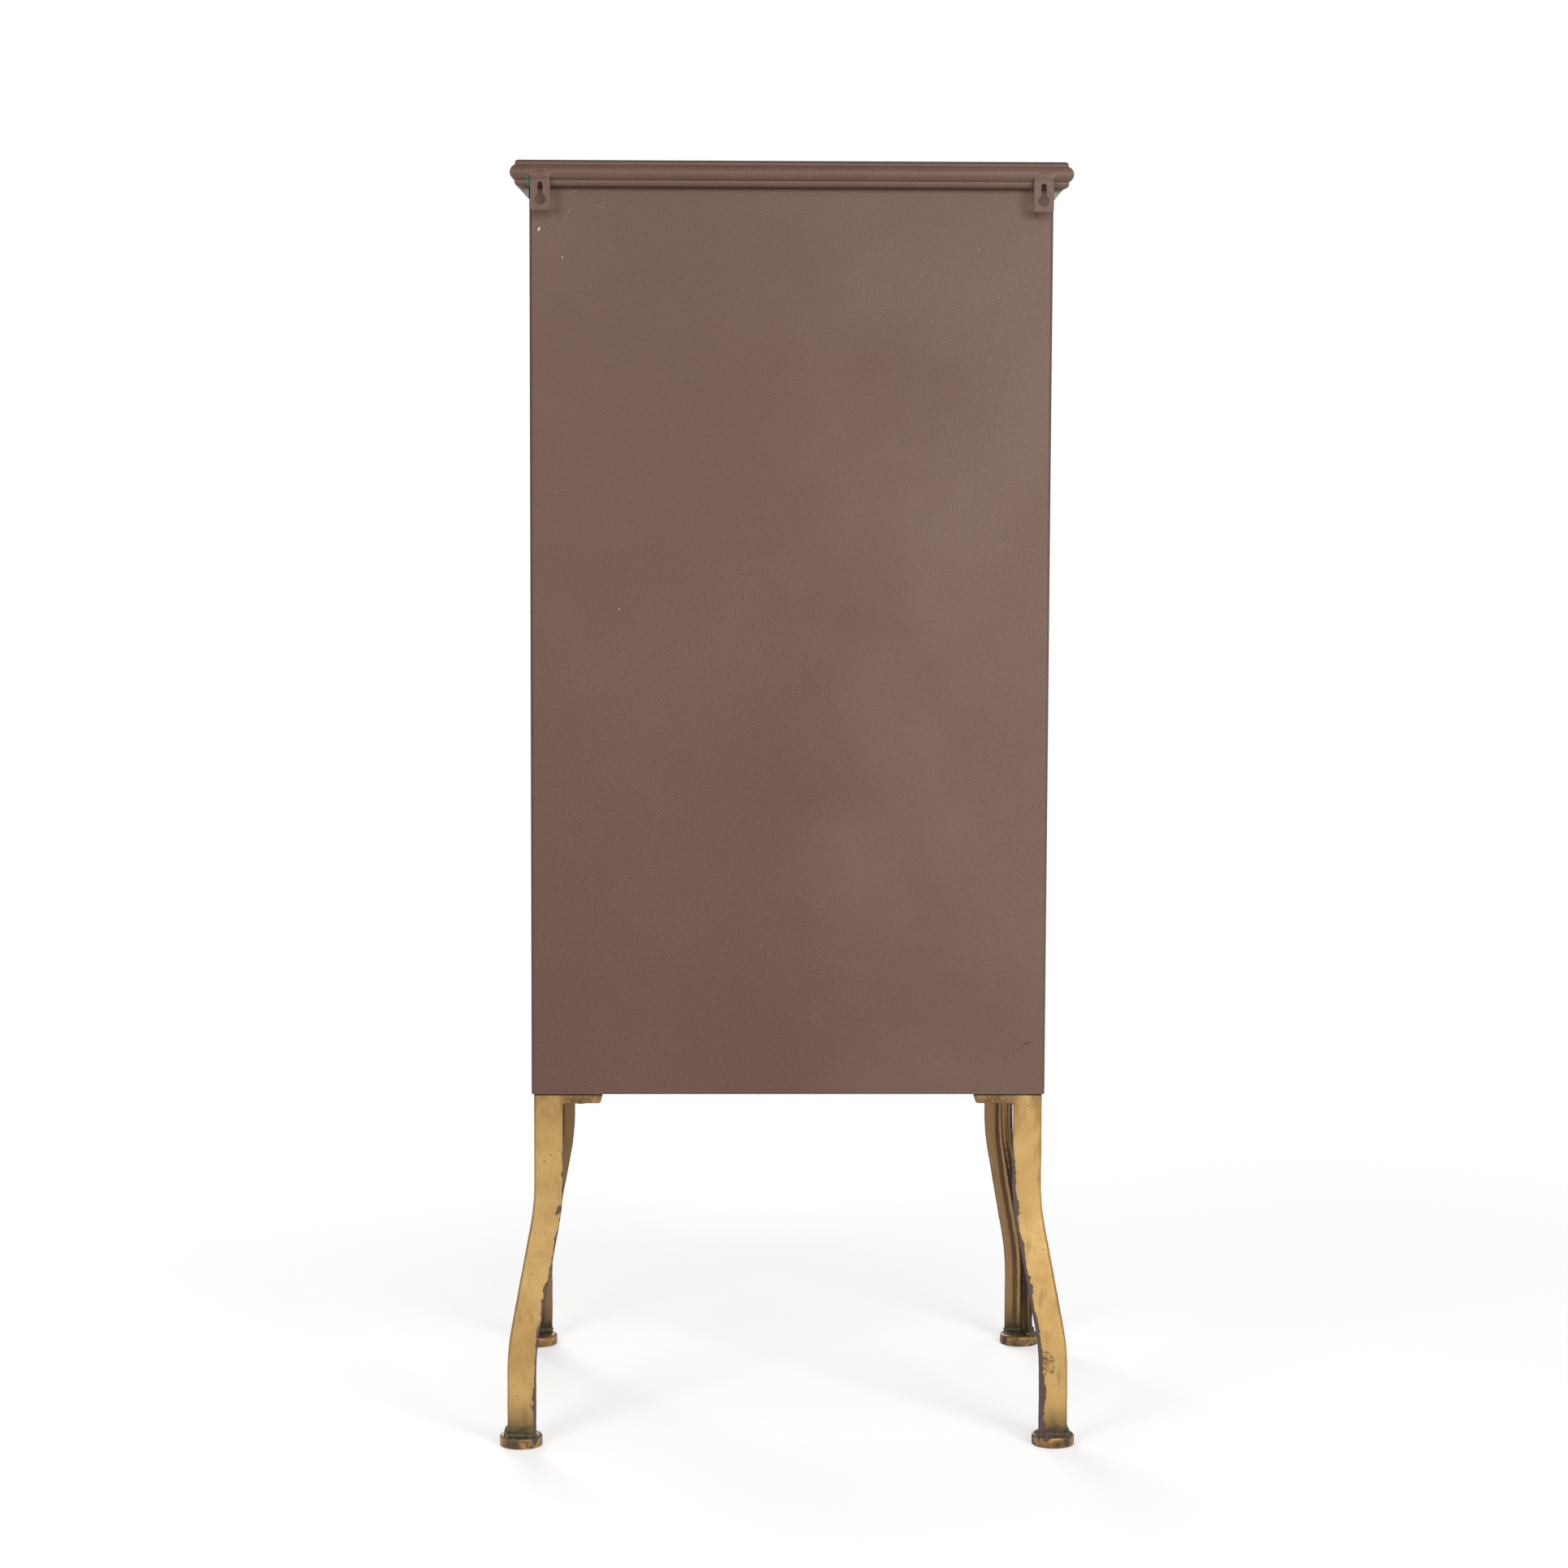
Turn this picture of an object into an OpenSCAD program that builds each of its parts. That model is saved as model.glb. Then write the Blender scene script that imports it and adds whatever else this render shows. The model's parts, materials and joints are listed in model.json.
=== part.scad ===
// Tall sheet-metal drawer cabinet with a moulded crown on four splayed cast legs.
// Millimetres. The floor is z = 0, the drawers face -Y and the back panel faces +Y.
// Left and right are those of someone who stands in front of the drawers: right is +X.

/* [Cabinet body] */
// Outer width of the sheet-metal body
body_w = 450; // [380:1:540]
// Outer depth of the body, from the face frame to the back panel
body_d = 356; // [310:1:420]
// Height from the underside of the body to the top of the crown
body_h = 809; // [700:1:900]
// Thickness of the body's sheet
sheet = 1.2; // [0.8:0.1:2]
// Outer radius of the back panel's vertical bends
back_bend_r = 4; // [3:0.5:8]
// Length of the back panel's forward returns
back_return = 16; // [12:1:30]

/* [Face frame] */
// Visible width of each stile
stile_w = 22; // [19:1:34]
// Depth of the stiles and rails
frame_d = 26; // [23:1:34]
// Height of each rail between two drawers
rail_h = 12; // [10:1:20]
// Height of the bottom rail
bottom_rail_h = 20; // [14:1:30]
// Height of the top rail that shows below the crown
top_rail_show = 12; // [6:1:24]

/* [Crown] */
// Height of the top plate's edge
top_t = 3.5; // [3.5:0.1:6]
// Overhang of the top plate
top_over = 11.7; // [10:0.1:13]
// Radius of the top plate's rounded edge
top_edge_r = 3.2; // [1:0.1:3.4]
// Radius of the upper half-round moulding
torus_r = 7.2; // [6:0.1:8.5]
// Overhang of the upper half-round moulding
torus_over = 15.8; // [14.5:0.1:19]
// Radius of the lower bead
bead_r = 4; // [3:0.1:5]
// How far the lower bead is tucked up behind the upper moulding
bead_tuck = 3.3; // [2:0.1:4.5]
// Overhang of the lower bead
bead_over = 12; // [9:0.1:13]
// Overhang of the cove at its top
cove_over = 8; // [5:0.1:8]
// Height of the cove
cove_h = 9.8; // [6:0.1:14]

/* [Hangers] */
// Distance from the body's side to the middle of a keyhole
hanger_inset = 10; // [9.5:0.5:30]
// Width of a hanger plate
hanger_w = 17.2; // [15:0.1:19]
// Height of a hanger plate
hanger_h = 32.3; // [30:0.1:40]
// Thickness of a hanger plate
hanger_t = 2; // [1.5:0.1:3]
// Radius of the keyhole's round head
keyhole_r = 4.4; // [4:0.1:5.5]
// Width of the keyhole's slot
keyhole_slot_w = 4.3; // [3:0.1:5]
// Distance from the round head's middle up to the slot's end
keyhole_rise = 14.8; // [10:0.1:17]
// Distance from the round head's middle down to the plate's edge
keyhole_drop = 9.3; // [7:0.1:10]
// Reach of the flared ear at the plate's top
ear_w = 3.2; // [1:0.1:4]

/* [Legs] */
// Height of the body's underside above the floor
leg_h = 311; // [270:1:360]
// Distance of the legs' outer faces inside the body's faces
leg_inset = 2; // [1:0.5:6]
// Width of each flange of the leg's L-section
flange_w = 25.4; // [22:0.1:30]
// Thickness of each flange
flange_t = 4; // [3:0.1:5]
// Radius of the leg's outer corner
leg_edge_r = 3; // [1:0.5:4]
// Radius of the rib in the leg's inner corner
leg_rib_r = 4.5; // [3:0.1:6]
// Distance of the rib's middle past the flanges' inner faces
rib_set = 1; // [0.4:0.1:2]
// Outward splay of the foot, the same in both directions
splay = 23; // [14:0.1:28]
// Distance from the body's underside down to the start of the splay
splay_drop = 79; // [64:1:90]
// Height of the splayed stretch
splay_h = 165; // [146:1:175]
// Bend radius where the splay starts and ends
splay_r = 220; // [150:1:275]

/* [Leg arms] */
// Reach of each mounting arm from the leg's outer face
arm_len = 60.5; // [52:0.5:75]
// Thickness of the mounting arms
arm_t = 8.8; // [7:0.1:11]
// Draft of an arm's end
arm_draft = 1.5; // [0.5:0.1:3]
// Rounding of an arm's lower end corner
arm_end_r = 3; // [1:0.5:5]
// Distance from the leg's outer face to the arm's bolt
bolt_along = 41; // [38:0.5:44]
// Shank diameter of a leg bolt
bolt_d = 6; // [5:0.5:6.5]
// Clearance round a bolt's shank in its holes
bolt_clear = 0.3; // [0.2:0.05:0.5]

/* [Feet] */
// Diameter of a foot disc
foot_d = 38.4; // [37.5:0.1:44]
// Thickness of a foot disc
foot_t = 10.5; // [8:0.5:13]
// Radius of the foot disc's upper edge
foot_edge_r = 3; // [1:0.5:4]
// Distance from the leg's outer faces in to the middle of its disc
foot_inset = 11.6; // [10.8:0.1:13]

/* [Drawers] */
// Number of drawers
drawers = 6; // [4:1:7]
// Gap between a drawer front and the face frame
reveal = 1.5; // [1:0.1:3]
// Depth of the folded drawer front
front_d = 16; // [12:1:20]
// Radius of the drawer front's folded edges
front_edge_r = 2.2; // [1:0.1:3]
// Thickness of the tray's sheet
tray_t = 1; // [0.8:0.1:1.5]
// Height of the tray's floor above the edge of its opening
tray_lift = 3; // [2:0.5:6]
// Distance of the tray's lips below the top of the opening
lip_drop = 15; // [12:0.5:22]
// Gap between a tray and the stile that it passes
tray_side_gap = 3.5; // [2:0.5:6]
// Width of the lip folded out along each side of a tray
lip_w = 8.5; // [7:0.5:10]
// Gap between a tray's back and the back panel
tray_back_gap = 10; // [6:1:30]
// Length of a stop ear
ear_len = 14; // [8:1:24]
// Distance from the tray's back to its stop ears
ear_back = 55; // [30:1:90]
// Height by which a stop ear overlaps the rail that stops it
ear_catch = 6; // [3:0.5:7]

/* [Runners] */
// Thickness of the runner's sheet
runner_t = 1.2; // [0.8:0.1:1.6]
// Clearance under a lip
slide_gap = 0.3; // [0.2:0.05:0.5]
// Clearance over a lip
lift_gap = 0.8; // [0.4:0.1:1.5]
// Gap between the edge of a lip and the runner's web
web_gap = 1.5; // [0.8:0.1:2]
// Length of the end tabs welded to the stile and the back panel
runner_tab = 12; // [8:1:16]

/* [Pulls] */
// Length of the cup
cup_len = 72; // [56:1:90]
// Projection of the cup
cup_r = 22; // [18:0.5:26]
// Wall of the cup
cup_t = 1.8; // [1.4:0.1:2.4]
// Angle that the cup sweeps from the drawer front round to its lip
cup_sweep = 104; // [95:1:110]
// Width of the flange round the cup
pull_flange_w = 8; // [7:0.5:10]
// Thickness of the flange
pull_flange_t = 1.6; // [1.2:0.1:2.2]
// Diameter of a pull screw's shank
screw_d = 3.6; // [3:0.1:4]
// Diameter of a pull screw's head
screw_head_d = 6.4; // [5.5:0.1:6.6]
// Length of a pull screw's shank
screw_len = 9; // [6:0.5:12]

/* [Hidden] */
$fn = 64;
levels = [for (i = [1:drawers]) i];

eps = 0.01;
cut = 1;                                   // how far a cut runs past the face it opens
back_paint = "#7a6054";
green_paint = "#5c8f7c";
gold_paint = "#cfa55c";
foot_paint = "#8a6a3c";
steel = "#9aa0a2";

// Body
half_w = body_w / 2;
half_d = body_d / 2;
z_under = leg_h;
z_top = leg_h + body_h;
z_shell = z_top - top_t;                   // upper edge of the body's sheets
in_w = half_w - sheet;                     // inner face of a side sheet
in_d = half_d - sheet;                     // inner face of the back panel

// Crown, measured down from the top
z_torus = z_shell - torus_r;
z_bead = z_torus - torus_r - bead_r + bead_tuck;
z_cove = z_bead - bead_r;
z_cove_end = z_cove - cove_h;
over = max(top_over, torus_over, bead_over, cove_over);

// Face frame
open_half = half_w - stile_w;
rail_back = frame_d - half_d;              // y of the rails' back faces
z_floor_in = z_under + sheet;
z_open_low = z_under + bottom_rail_h;
z_open_high = z_cove_end - top_rail_show;
open_h = (z_open_high - z_open_low - (drawers - 1) * rail_h) / drawers;
pitch = open_h + rail_h;
// Lower edge of the opening of drawer i, where drawer 1 is the top one
function z_open(i) = z_open_low + (drawers - i) * pitch;

// Drawers
front_half = open_half - reveal;
front_back = front_d - half_d;             // y of the drawer front's rear edge
lip_half = open_half - tray_side_gap;      // outer edge of a lip
tray_half = lip_half - lip_w;              // outer face of a tray's side
tray_back = in_d - tray_back_gap;
lip_up = open_h - lip_drop;                // height of a lip's top above the opening
ear_front = tray_back - ear_back - ear_len;
stop_gap = 0.5;
travel = ear_front - rail_back - stop_gap;
liner_gap = 0.3;

// Runners
web_in = lip_half + web_gap;
leg_out = tray_half + slide_gap + 1;       // inner edge of the runner's two legs

// Pulls: the cup is a spindle whose outline is an arc through both ends and the crest
cup_arc_r = (pow(cup_len / 2, 2) + cup_r * cup_r) / (2 * cup_r);
cup_arc_drop = cup_arc_r - cup_r;
lip_dip = cup_r * sin(cup_sweep - 90);
flange_r = cup_arc_r + pull_flange_w;
screw_x = sqrt(flange_r * flange_r - cup_arc_drop * cup_arc_drop) - screw_head_d / 2 - 1.4;
screw_clear = 0.2;
pull_up = 0.5;                             // height of the cup's axis as a share of the opening

// Legs
leg_x = half_w - leg_inset;                // outer faces of a leg at its top
leg_y = half_d - leg_inset;
z_leg = z_under;
z_splay = z_under - splay_drop;
rib_mid = flange_t + rib_set;
bolt_hole_r = bolt_d / 2 + bolt_clear;
bolt_head_r = bolt_d * 0.85;
bolt_head_h = bolt_d / 4;
nut_r = bolt_d * 0.96;
nut_h = bolt_d * 0.8;
nut_gap = 0.05;
bend_steps = 6;
round_steps = 3;
rib_steps = 3;

// The splay's two bends turn by this angle, so that the straight stretch joins them
splay_turn = atan2(splay_h, 2 * splay_r - splay)
    - acos(2 * splay_r / norm([splay_h, 2 * splay_r - splay]));
// The points of a leg lie on a grid of 0.001 mm
function on_grid(v) = round(1000 * v) / 1000;
// Outward offset and height along a leg, from its foot up to the end of its upper bend
leg_line = concat(
    [[splay, foot_t]],
    [for (k = [0:bend_steps]) let (a = splay_turn * k / bend_steps)
        [on_grid(splay - splay_r * (1 - cos(a))), on_grid(z_splay - splay_h + splay_r * sin(a))]],
    [for (k = [bend_steps:-1:0]) let (a = splay_turn * k / bend_steps)
        [on_grid(splay_r * (1 - cos(a))), on_grid(z_splay - splay_r * sin(a))]]
);
// Section of a leg, counterclockwise from the tip of one flange, with its outer corner at [0, 0]
rib_turn = asin(rib_set / leg_rib_r);            // the rib's arc ends this far inside the flanges
leg_section = concat(
    [[0, -flange_w]],
    [for (k = [0:round_steps]) let (a = 90 * k / round_steps)
        [on_grid(leg_edge_r * (cos(a) - 1)), on_grid(leg_edge_r * (sin(a) - 1))]],
    [[-flange_w, 0], [-flange_w, -flange_t]],
    [for (k = [0:rib_steps]) let (a = 180 - rib_turn + (90 + 2 * rib_turn) * k / rib_steps)
        [on_grid(leg_rib_r * cos(a) - rib_mid), on_grid(leg_rib_r * sin(a) - rib_mid)]],
    [[-flange_t, -flange_w]]
);

// ---------- Body sheets ----------

module box(low, high) {
    translate(low) cube(high - low);
}

module side_sheet() {
    box([in_w, -half_d, z_under], [half_w, half_d - back_return, z_shell]);
}

module side_left() {
    color(green_paint) mirror([1, 0, 0]) side_sheet();
}

module side_right() {
    color(green_paint) side_sheet();
}

// Outline of a rounded bar in plan, bent at its two back corners
module back_outline(half, y_high, r) {
    y_low = half_d - back_return;
    translate([-half, y_low]) square([2 * half, y_high - r - y_low]);
    translate([r - half, y_low]) square([2 * (half - r), y_high - y_low]);
    for (side = [-1, 1]) translate([side * (half - r), y_high - r]) circle(r);
}

module back_panel() {
    color(back_paint) translate([0, 0, z_under]) linear_extrude(z_shell - z_under) difference() {
        back_outline(half_w, half_d, back_bend_r);
        translate([0, -cut]) back_outline(in_w, in_d + cut, back_bend_r - sheet);
        translate([-in_w, half_d - back_return - cut]) square([2 * in_w, 2 * cut]);
    }
}

module bottom_panel() {
    color(back_paint) difference() {
        box([-in_w, -half_d, z_under], [in_w, in_d - back_bend_r, z_floor_in]);
        leg_bolt_places() cylinder(h = 3 * sheet, r = bolt_hole_r, center = true);
    }
}

// ---------- Crown ----------

// Top plate outline seen from one side: a bar with rounded upper corners
module top_outline(half) {
    intersection() {
        translate([-half, 0]) square([2 * half, top_t]);
        union() {
            translate([-half, 0]) square([2 * half, top_t - top_edge_r]);
            translate([top_edge_r - half, 0]) square([2 * (half - top_edge_r), top_t]);
            for (side = [-1, 1]) translate([side * (half - top_edge_r), top_t - top_edge_r]) circle(top_edge_r);
        }
    }
}

module top_plate() {
    reach = max(body_w, body_d) + 4 * over;
    color(green_paint) difference() {
        translate([0, 0, z_shell]) intersection() {
            rotate([90, 0, 0]) linear_extrude(reach, center = true) top_outline(half_w + top_over);
            rotate([90, 0, 90]) linear_extrude(reach, center = true) top_outline(half_d + top_over);
        }
        box([-in_w + sheet, -in_d + sheet, z_shell - cut], [in_w - sheet, in_d - sheet, z_top - 1.5 * sheet]);
    }
}

// Moulding seen from its end: overhang to the right, height up
module moulding_outline() {
    translate([0, z_torus - torus_r]) square([torus_over - torus_r, 2 * torus_r]);
    translate([torus_over - torus_r, z_torus]) circle(torus_r);
    translate([0, z_cove]) square([bead_over - bead_r, z_torus - z_cove]);
    translate([bead_over - bead_r, z_bead]) circle(bead_r);
}

module cove_outline() {
    polygon([[0, z_bead], [cove_over, z_bead], [cove_over, z_cove], [0, z_cove_end]]);
}

// Moulding along one face: ends mitred outwards at 45 degrees, except where square
module crown_run(face, half_len, square_start = false) {
    depth = body_h;
    start = square_start ? 0 : over;
    intersection() {
        translate([face, 0, 0]) rotate([90, 0, 0])
            linear_extrude(2 * (half_len + over), center = true) children();
        translate([0, 0, z_top - depth]) linear_extrude(depth)
            polygon([[face, half_len], [face, -half_len],
                     [face + over, -half_len - over], [face + over, half_len + start]]);
    }
}

module side_crown() {
    crown_run(half_w, half_d) moulding_outline();
    crown_run(half_w, half_d, square_start = true) cove_outline();
}

module crown_right() {
    color(green_paint) side_crown();
}

module crown_left() {
    color(green_paint) mirror([1, 0, 0]) side_crown();
}

module crown_front() {
    color(green_paint) rotate([0, 0, -90]) {
        crown_run(half_d, half_w) moulding_outline();
        crown_run(half_d, half_w) cove_outline();
    }
}

module crown_back() {
    color(back_paint) rotate([0, 0, 90]) crown_run(half_d, half_w) moulding_outline();
}

// ---------- Hangers ----------

keyhole_x = half_w - hanger_inset;
z_keyhole = z_torus - hanger_h + keyhole_drop;
hanger_y = half_d + torus_over;

// Plate seen from behind, with the keyhole's round head at the origin
module hanger_outline(ears) {
    low = -keyhole_drop;
    corner = 1.5;
    difference() {
        union() {
            translate([-hanger_w / 2, low + corner]) square([hanger_w, hanger_h - corner]);
            translate([corner - hanger_w / 2, low]) square([hanger_w - 2 * corner, hanger_h]);
            for (side = [-1, 1]) translate([side * (hanger_w / 2 - corner), low + corner]) circle(corner);
            for (side = ears) translate([side * hanger_w / 2, low + hanger_h - 2 * ear_w]) difference() {
                translate([side > 0 ? -eps : -ear_w, 0]) square([ear_w + eps, 2 * ear_w]);
                translate([side * 2 * ear_w, 0]) circle(2 * ear_w);
            }
        }
        circle(keyhole_r);
        translate([-keyhole_slot_w / 2, 0]) square([keyhole_slot_w, keyhole_rise - keyhole_slot_w / 2]);
        translate([0, keyhole_rise - keyhole_slot_w / 2]) circle(keyhole_slot_w / 2);
    }
}

module hanger(side, ears) {
    color(back_paint) translate([side * keyhole_x, hanger_y + hanger_t, z_keyhole])
        rotate([90, 0, 0]) linear_extrude(hanger_t) hanger_outline(ears);
}

module hanger_right() {
    hanger(1, [-1, 1]);
}

module hanger_left() {
    hanger(-1, [-1]);
}

// ---------- Face frame ----------

module stile() {
    translate([0, 0, z_floor_in]) linear_extrude(z_shell - z_floor_in) difference() {
        translate([open_half, -half_d]) square([in_w - open_half, frame_d]);
        translate([open_half + sheet, sheet - half_d]) square([in_w - open_half - 2 * sheet, frame_d - 2 * sheet]);
    }
}

module stile_left() {
    color(green_paint) mirror([1, 0, 0]) stile();
}

module stile_right() {
    color(green_paint) stile();
}

module rail_tube(low, high) {
    difference() {
        box([-open_half, -half_d, low], [open_half, rail_back, high]);
        box([-open_half - cut, sheet - half_d, low + sheet], [open_half + cut, rail_back - sheet, high - sheet]);
    }
}

module rail_between(i) {
    color(green_paint) rail_tube(z_open(i) - rail_h, z_open(i));
}

module rail_top() {
    color(green_paint) rail_tube(z_open_high, z_shell);
}

// The bottom rail is an upturned channel that stands on the bottom sheet over the bolts' nuts
module rail_bottom() {
    color(green_paint) difference() {
        box([-open_half, -half_d, z_floor_in], [open_half, rail_back, z_open_low]);
        box([-open_half - cut, sheet - half_d, z_floor_in - cut],
            [open_half + cut, rail_back - sheet, z_open_low - sheet]);
    }
}

// ---------- Runners ----------

module runner(i) {
    z_lip = z_open(i) + lip_up;
    z_low = z_lip - tray_t - slide_gap - runner_t;
    z_high = z_lip + lift_gap + runner_t;
    web_out = web_in + runner_t;
    difference() {
        box([leg_out, rail_back, z_low], [web_out, in_d, z_high]);
        box([leg_out - cut, rail_back - cut, z_low + runner_t], [web_in, in_d + cut, z_high - runner_t]);
    }
    for (y = [rail_back, in_d - runner_t])
        box([web_out - eps, y, z_low], [web_out + runner_tab, y + runner_t, z_high]);
}

module runners(i) {
    color(steel) for (side = [0, 1]) mirror([side, 0, 0]) runner(i);
}

// ---------- Drawers ----------

// Front seen from above or from the side: a bar with rounded front corners
module front_outline(half, r) {
    translate([-half, r - half_d]) square([2 * half, front_d - r]);
    translate([r - half, -half_d]) square([2 * (half - r), front_d]);
    for (side = [-1, 1]) translate([side * (half - r), r - half_d]) circle(r);
}

module drawer_front(i) {
    half_h = open_h / 2 - reveal;
    color(green_paint) translate([0, 0, z_open(i) + open_h / 2]) difference() {
        intersection() {
            linear_extrude(open_h, center = true) front_outline(front_half, front_edge_r);
            rotate([90, 0, 90]) linear_extrude(body_w, center = true) rotate(90)
                mirror([0, 1]) front_outline(half_h, front_edge_r);
        }
        box([sheet - front_half, sheet - half_d, sheet - half_h],
            [front_half - sheet, front_back + cut, half_h - sheet]);
        pull_screw_places() rotate([90, 0, 0]) cylinder(h = 4 * sheet, d = screw_d + screw_clear, center = true);
    }
}

module tray_side() {
    z_lip = lip_up;
    // Wall, folded lip and stop ear
    box([tray_half - tray_t, front_back - tray_t, tray_lift], [tray_half, tray_back, z_lip]);
    box([tray_half - eps, front_back, z_lip - tray_t], [lip_half, tray_back, z_lip]);
    box([tray_half - tray_t, ear_front, z_lip - eps], [tray_half, ear_front + ear_len, open_h + ear_catch]);
}

module drawer_tray(i) {
    liner_half = front_half - sheet - liner_gap;
    liner_low = reveal + sheet + liner_gap;
    color(back_paint) translate([0, 0, z_open(i)]) {
        for (side = [0, 1]) mirror([side, 0, 0]) tray_side();
        box([-tray_half, front_back - tray_t, tray_lift], [tray_half, tray_back, tray_lift + tray_t]);
        box([-tray_half, tray_back - tray_t, tray_lift], [tray_half, tray_back, lip_up]);
        box([-liner_half, front_back - tray_t, liner_low], [liner_half, front_back, open_h - liner_low]);
    }
}

// Children are placed on the drawer's face where its two pull screws sit
module pull_screw_places() {
    for (side = [-1, 1]) translate([side * screw_x, -half_d, 0]) children();
}

// Arch of the pull seen from the front, with the cup's axis at the origin
module arch(r) {
    translate([0, -cup_arc_drop]) circle(r);
}

module pull_flange() {
    foot = pull_flange_w / 2;
    rotate([90, 0, 0]) linear_extrude(pull_flange_t) difference() {
        intersection() {
            arch(flange_r);
            translate([-cup_len, -foot]) square([2 * cup_len, 2 * cup_len]);
        }
        arch(cup_arc_r - cup_t);
        for (side = [-1, 1]) translate([side * screw_x, 0]) circle(d = screw_d + screw_clear);
    }
}

module pull_cup() {
    // Revolved about the line through the cup's two ends, from the top round to the lip
    rotate([0, 90, 0]) rotate([0, 0, 180]) rotate_extrude(angle = cup_sweep) intersection() {
        difference() {
            translate([-cup_arc_drop, 0]) circle(cup_arc_r);
            translate([-cup_arc_drop, 0]) circle(cup_arc_r - cup_t);
        }
        translate([0, -cup_len]) square([cup_len, 2 * cup_len]);
    }
}

module at_pull(i) {
    translate([0, 0, z_open(i) + open_h * pull_up]) children();
}

module drawer_pull(i) {
    color(gold_paint) at_pull(i) translate([0, -half_d, 0]) {
        pull_flange();
        pull_cup();
    }
}

module pull_screw() {
    head_h = screw_head_d / 3;
    dome_r = (pow(screw_head_d / 2, 2) + head_h * head_h) / (2 * head_h);
    seat = pull_flange_t + 0.1;
    rotate([90, 0, 0]) {
        translate([0, 0, seat]) intersection() {
            translate([0, 0, head_h - dome_r]) sphere(dome_r);
            cylinder(h = head_h, d = screw_head_d);
        }
        translate([0, 0, seat - screw_len]) cylinder(h = screw_len + eps, d = screw_d);
    }
}

module drawer_screws(i) {
    color(gold_paint) at_pull(i) pull_screw_places() pull_screw();
}

// ---------- Legs ----------

// The leg's section, moved out and down along its line in even steps round both bends
module leg_sweep() {
    n = len(leg_section);
    last = len(leg_line) - 1;
    polyhedron(
        points = [for (p = leg_line, q = leg_section) [leg_x + p.x + q.x, leg_y + p.x + q.y, p.y]],
        faces = concat(
            [[for (i = [0:n - 1]) i]],
            [for (k = [0:last - 1], i = [0:n - 1]) let (j = (i + 1) % n)
                [k * n + i, (k + 1) * n + i, (k + 1) * n + j, k * n + j]],
            [[for (i = [n - 1:-1:0]) last * n + i]]
        )
    );
}

// Arm that runs in from the leg's rounded corner along -X, flat on top, with a drafted end
module leg_arm() {
    round_x = arm_draft + arm_end_r - arm_len;
    rotate([90, 0, 0]) linear_extrude(flange_w) {
        polygon([[-leg_edge_r, 0], [-arm_len, 0], [arm_draft - arm_len, arm_end_r - arm_t],
                 [round_x, -arm_t], [-leg_edge_r, -arm_t]]);
        translate([round_x, arm_end_r - arm_t]) circle(arm_end_r);
    }
}

module leg_arms() {
    translate([leg_x, leg_y, z_leg]) leg_arm();
    translate([leg_x, leg_y, z_leg]) mirror([1, -1, 0]) leg_arm();
}

// Centres of a leg's two bolts
leg_bolts = [[leg_x - bolt_along, leg_y - flange_w / 2], [leg_x - flange_w / 2, leg_y - bolt_along]];

module leg_bolt_places() {
    for (mx = [0, 1], my = [0, 1]) mirror([mx, 0, 0]) mirror([0, my, 0])
        for (p = leg_bolts) translate([p.x, p.y, z_leg]) children();
}

module leg() {
    color(gold_paint) difference() {
        union() {
            leg_sweep();
            translate([leg_x, leg_y, z_splay]) linear_extrude(z_leg - z_splay) polygon(leg_section);
            leg_arms();
        }
        for (p = leg_bolts) translate([p.x, p.y, z_leg]) cylinder(h = 3 * arm_t, r = bolt_hole_r, center = true);
    }
}

// Foot disc with a rounded upper edge over a slightly wider rim
module foot() {
    r = foot_d / 2;
    rim_h = foot_t / 3;
    body_r = r - 0.7;
    color(foot_paint)
    translate([leg_x + splay - foot_inset, leg_y + splay - foot_inset, 0]) rotate_extrude() {
        square([r, rim_h]);
        square([body_r, foot_t - foot_edge_r]);
        square([body_r - foot_edge_r, foot_t]);
        intersection() {
            translate([body_r - foot_edge_r, foot_t - foot_edge_r]) circle(foot_edge_r);
            square([r, foot_t]);
        }
    }
}

module leg_front_left() {
    mirror([1, 0, 0]) mirror([0, 1, 0]) leg();
}

module leg_front_right() {
    mirror([0, 1, 0]) leg();
}

module leg_back_left() {
    mirror([1, 0, 0]) leg();
}

module leg_back_right() {
    leg();
}

module foot_front_left() {
    mirror([1, 0, 0]) mirror([0, 1, 0]) foot();
}

module foot_front_right() {
    mirror([0, 1, 0]) foot();
}

module foot_back_left() {
    mirror([1, 0, 0]) foot();
}

module foot_back_right() {
    foot();
}

// Bolt up through the arm and the bottom sheet, with its nut on the sheet
module leg_bolt() {
    translate([0, 0, -arm_t - bolt_head_h]) cylinder(h = bolt_head_h, r = bolt_head_r);
    translate([0, 0, -arm_t - eps]) cylinder(h = arm_t + sheet + nut_h + 2, d = bolt_d);
}

module leg_nut() {
    translate([0, 0, sheet]) difference() {
        cylinder(h = nut_h, r = nut_r, $fn = 6);
        translate([0, 0, -cut]) cylinder(h = nut_h + 2 * cut, r = bolt_d / 2 + nut_gap);
    }
}

module leg_fixings() {
    color(steel) leg_bolt_places() {
        leg_bolt();
        leg_nut();
    }
}

// ---------- One line per node ----------

side_left();
side_right();
back_panel();
bottom_panel();
top_plate();
stile_left();
stile_right();
rail_top();
rail_bottom();
crown_front();
crown_left();
crown_right();
crown_back();
hanger_left();
hanger_right();
leg_front_left();
leg_front_right();
leg_back_left();
leg_back_right();
foot_front_left();
foot_front_right();
foot_back_left();
foot_back_right();
leg_fixings();
for (i = [1:drawers - 1])
    rail_between(i);
for (i = levels)
    runners(i);
for (i = levels)
    drawer_front(i);
for (i = levels)
    drawer_tray(i);
for (i = levels)
    drawer_pull(i);
for (i = levels)
    drawer_screws(i);
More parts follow.
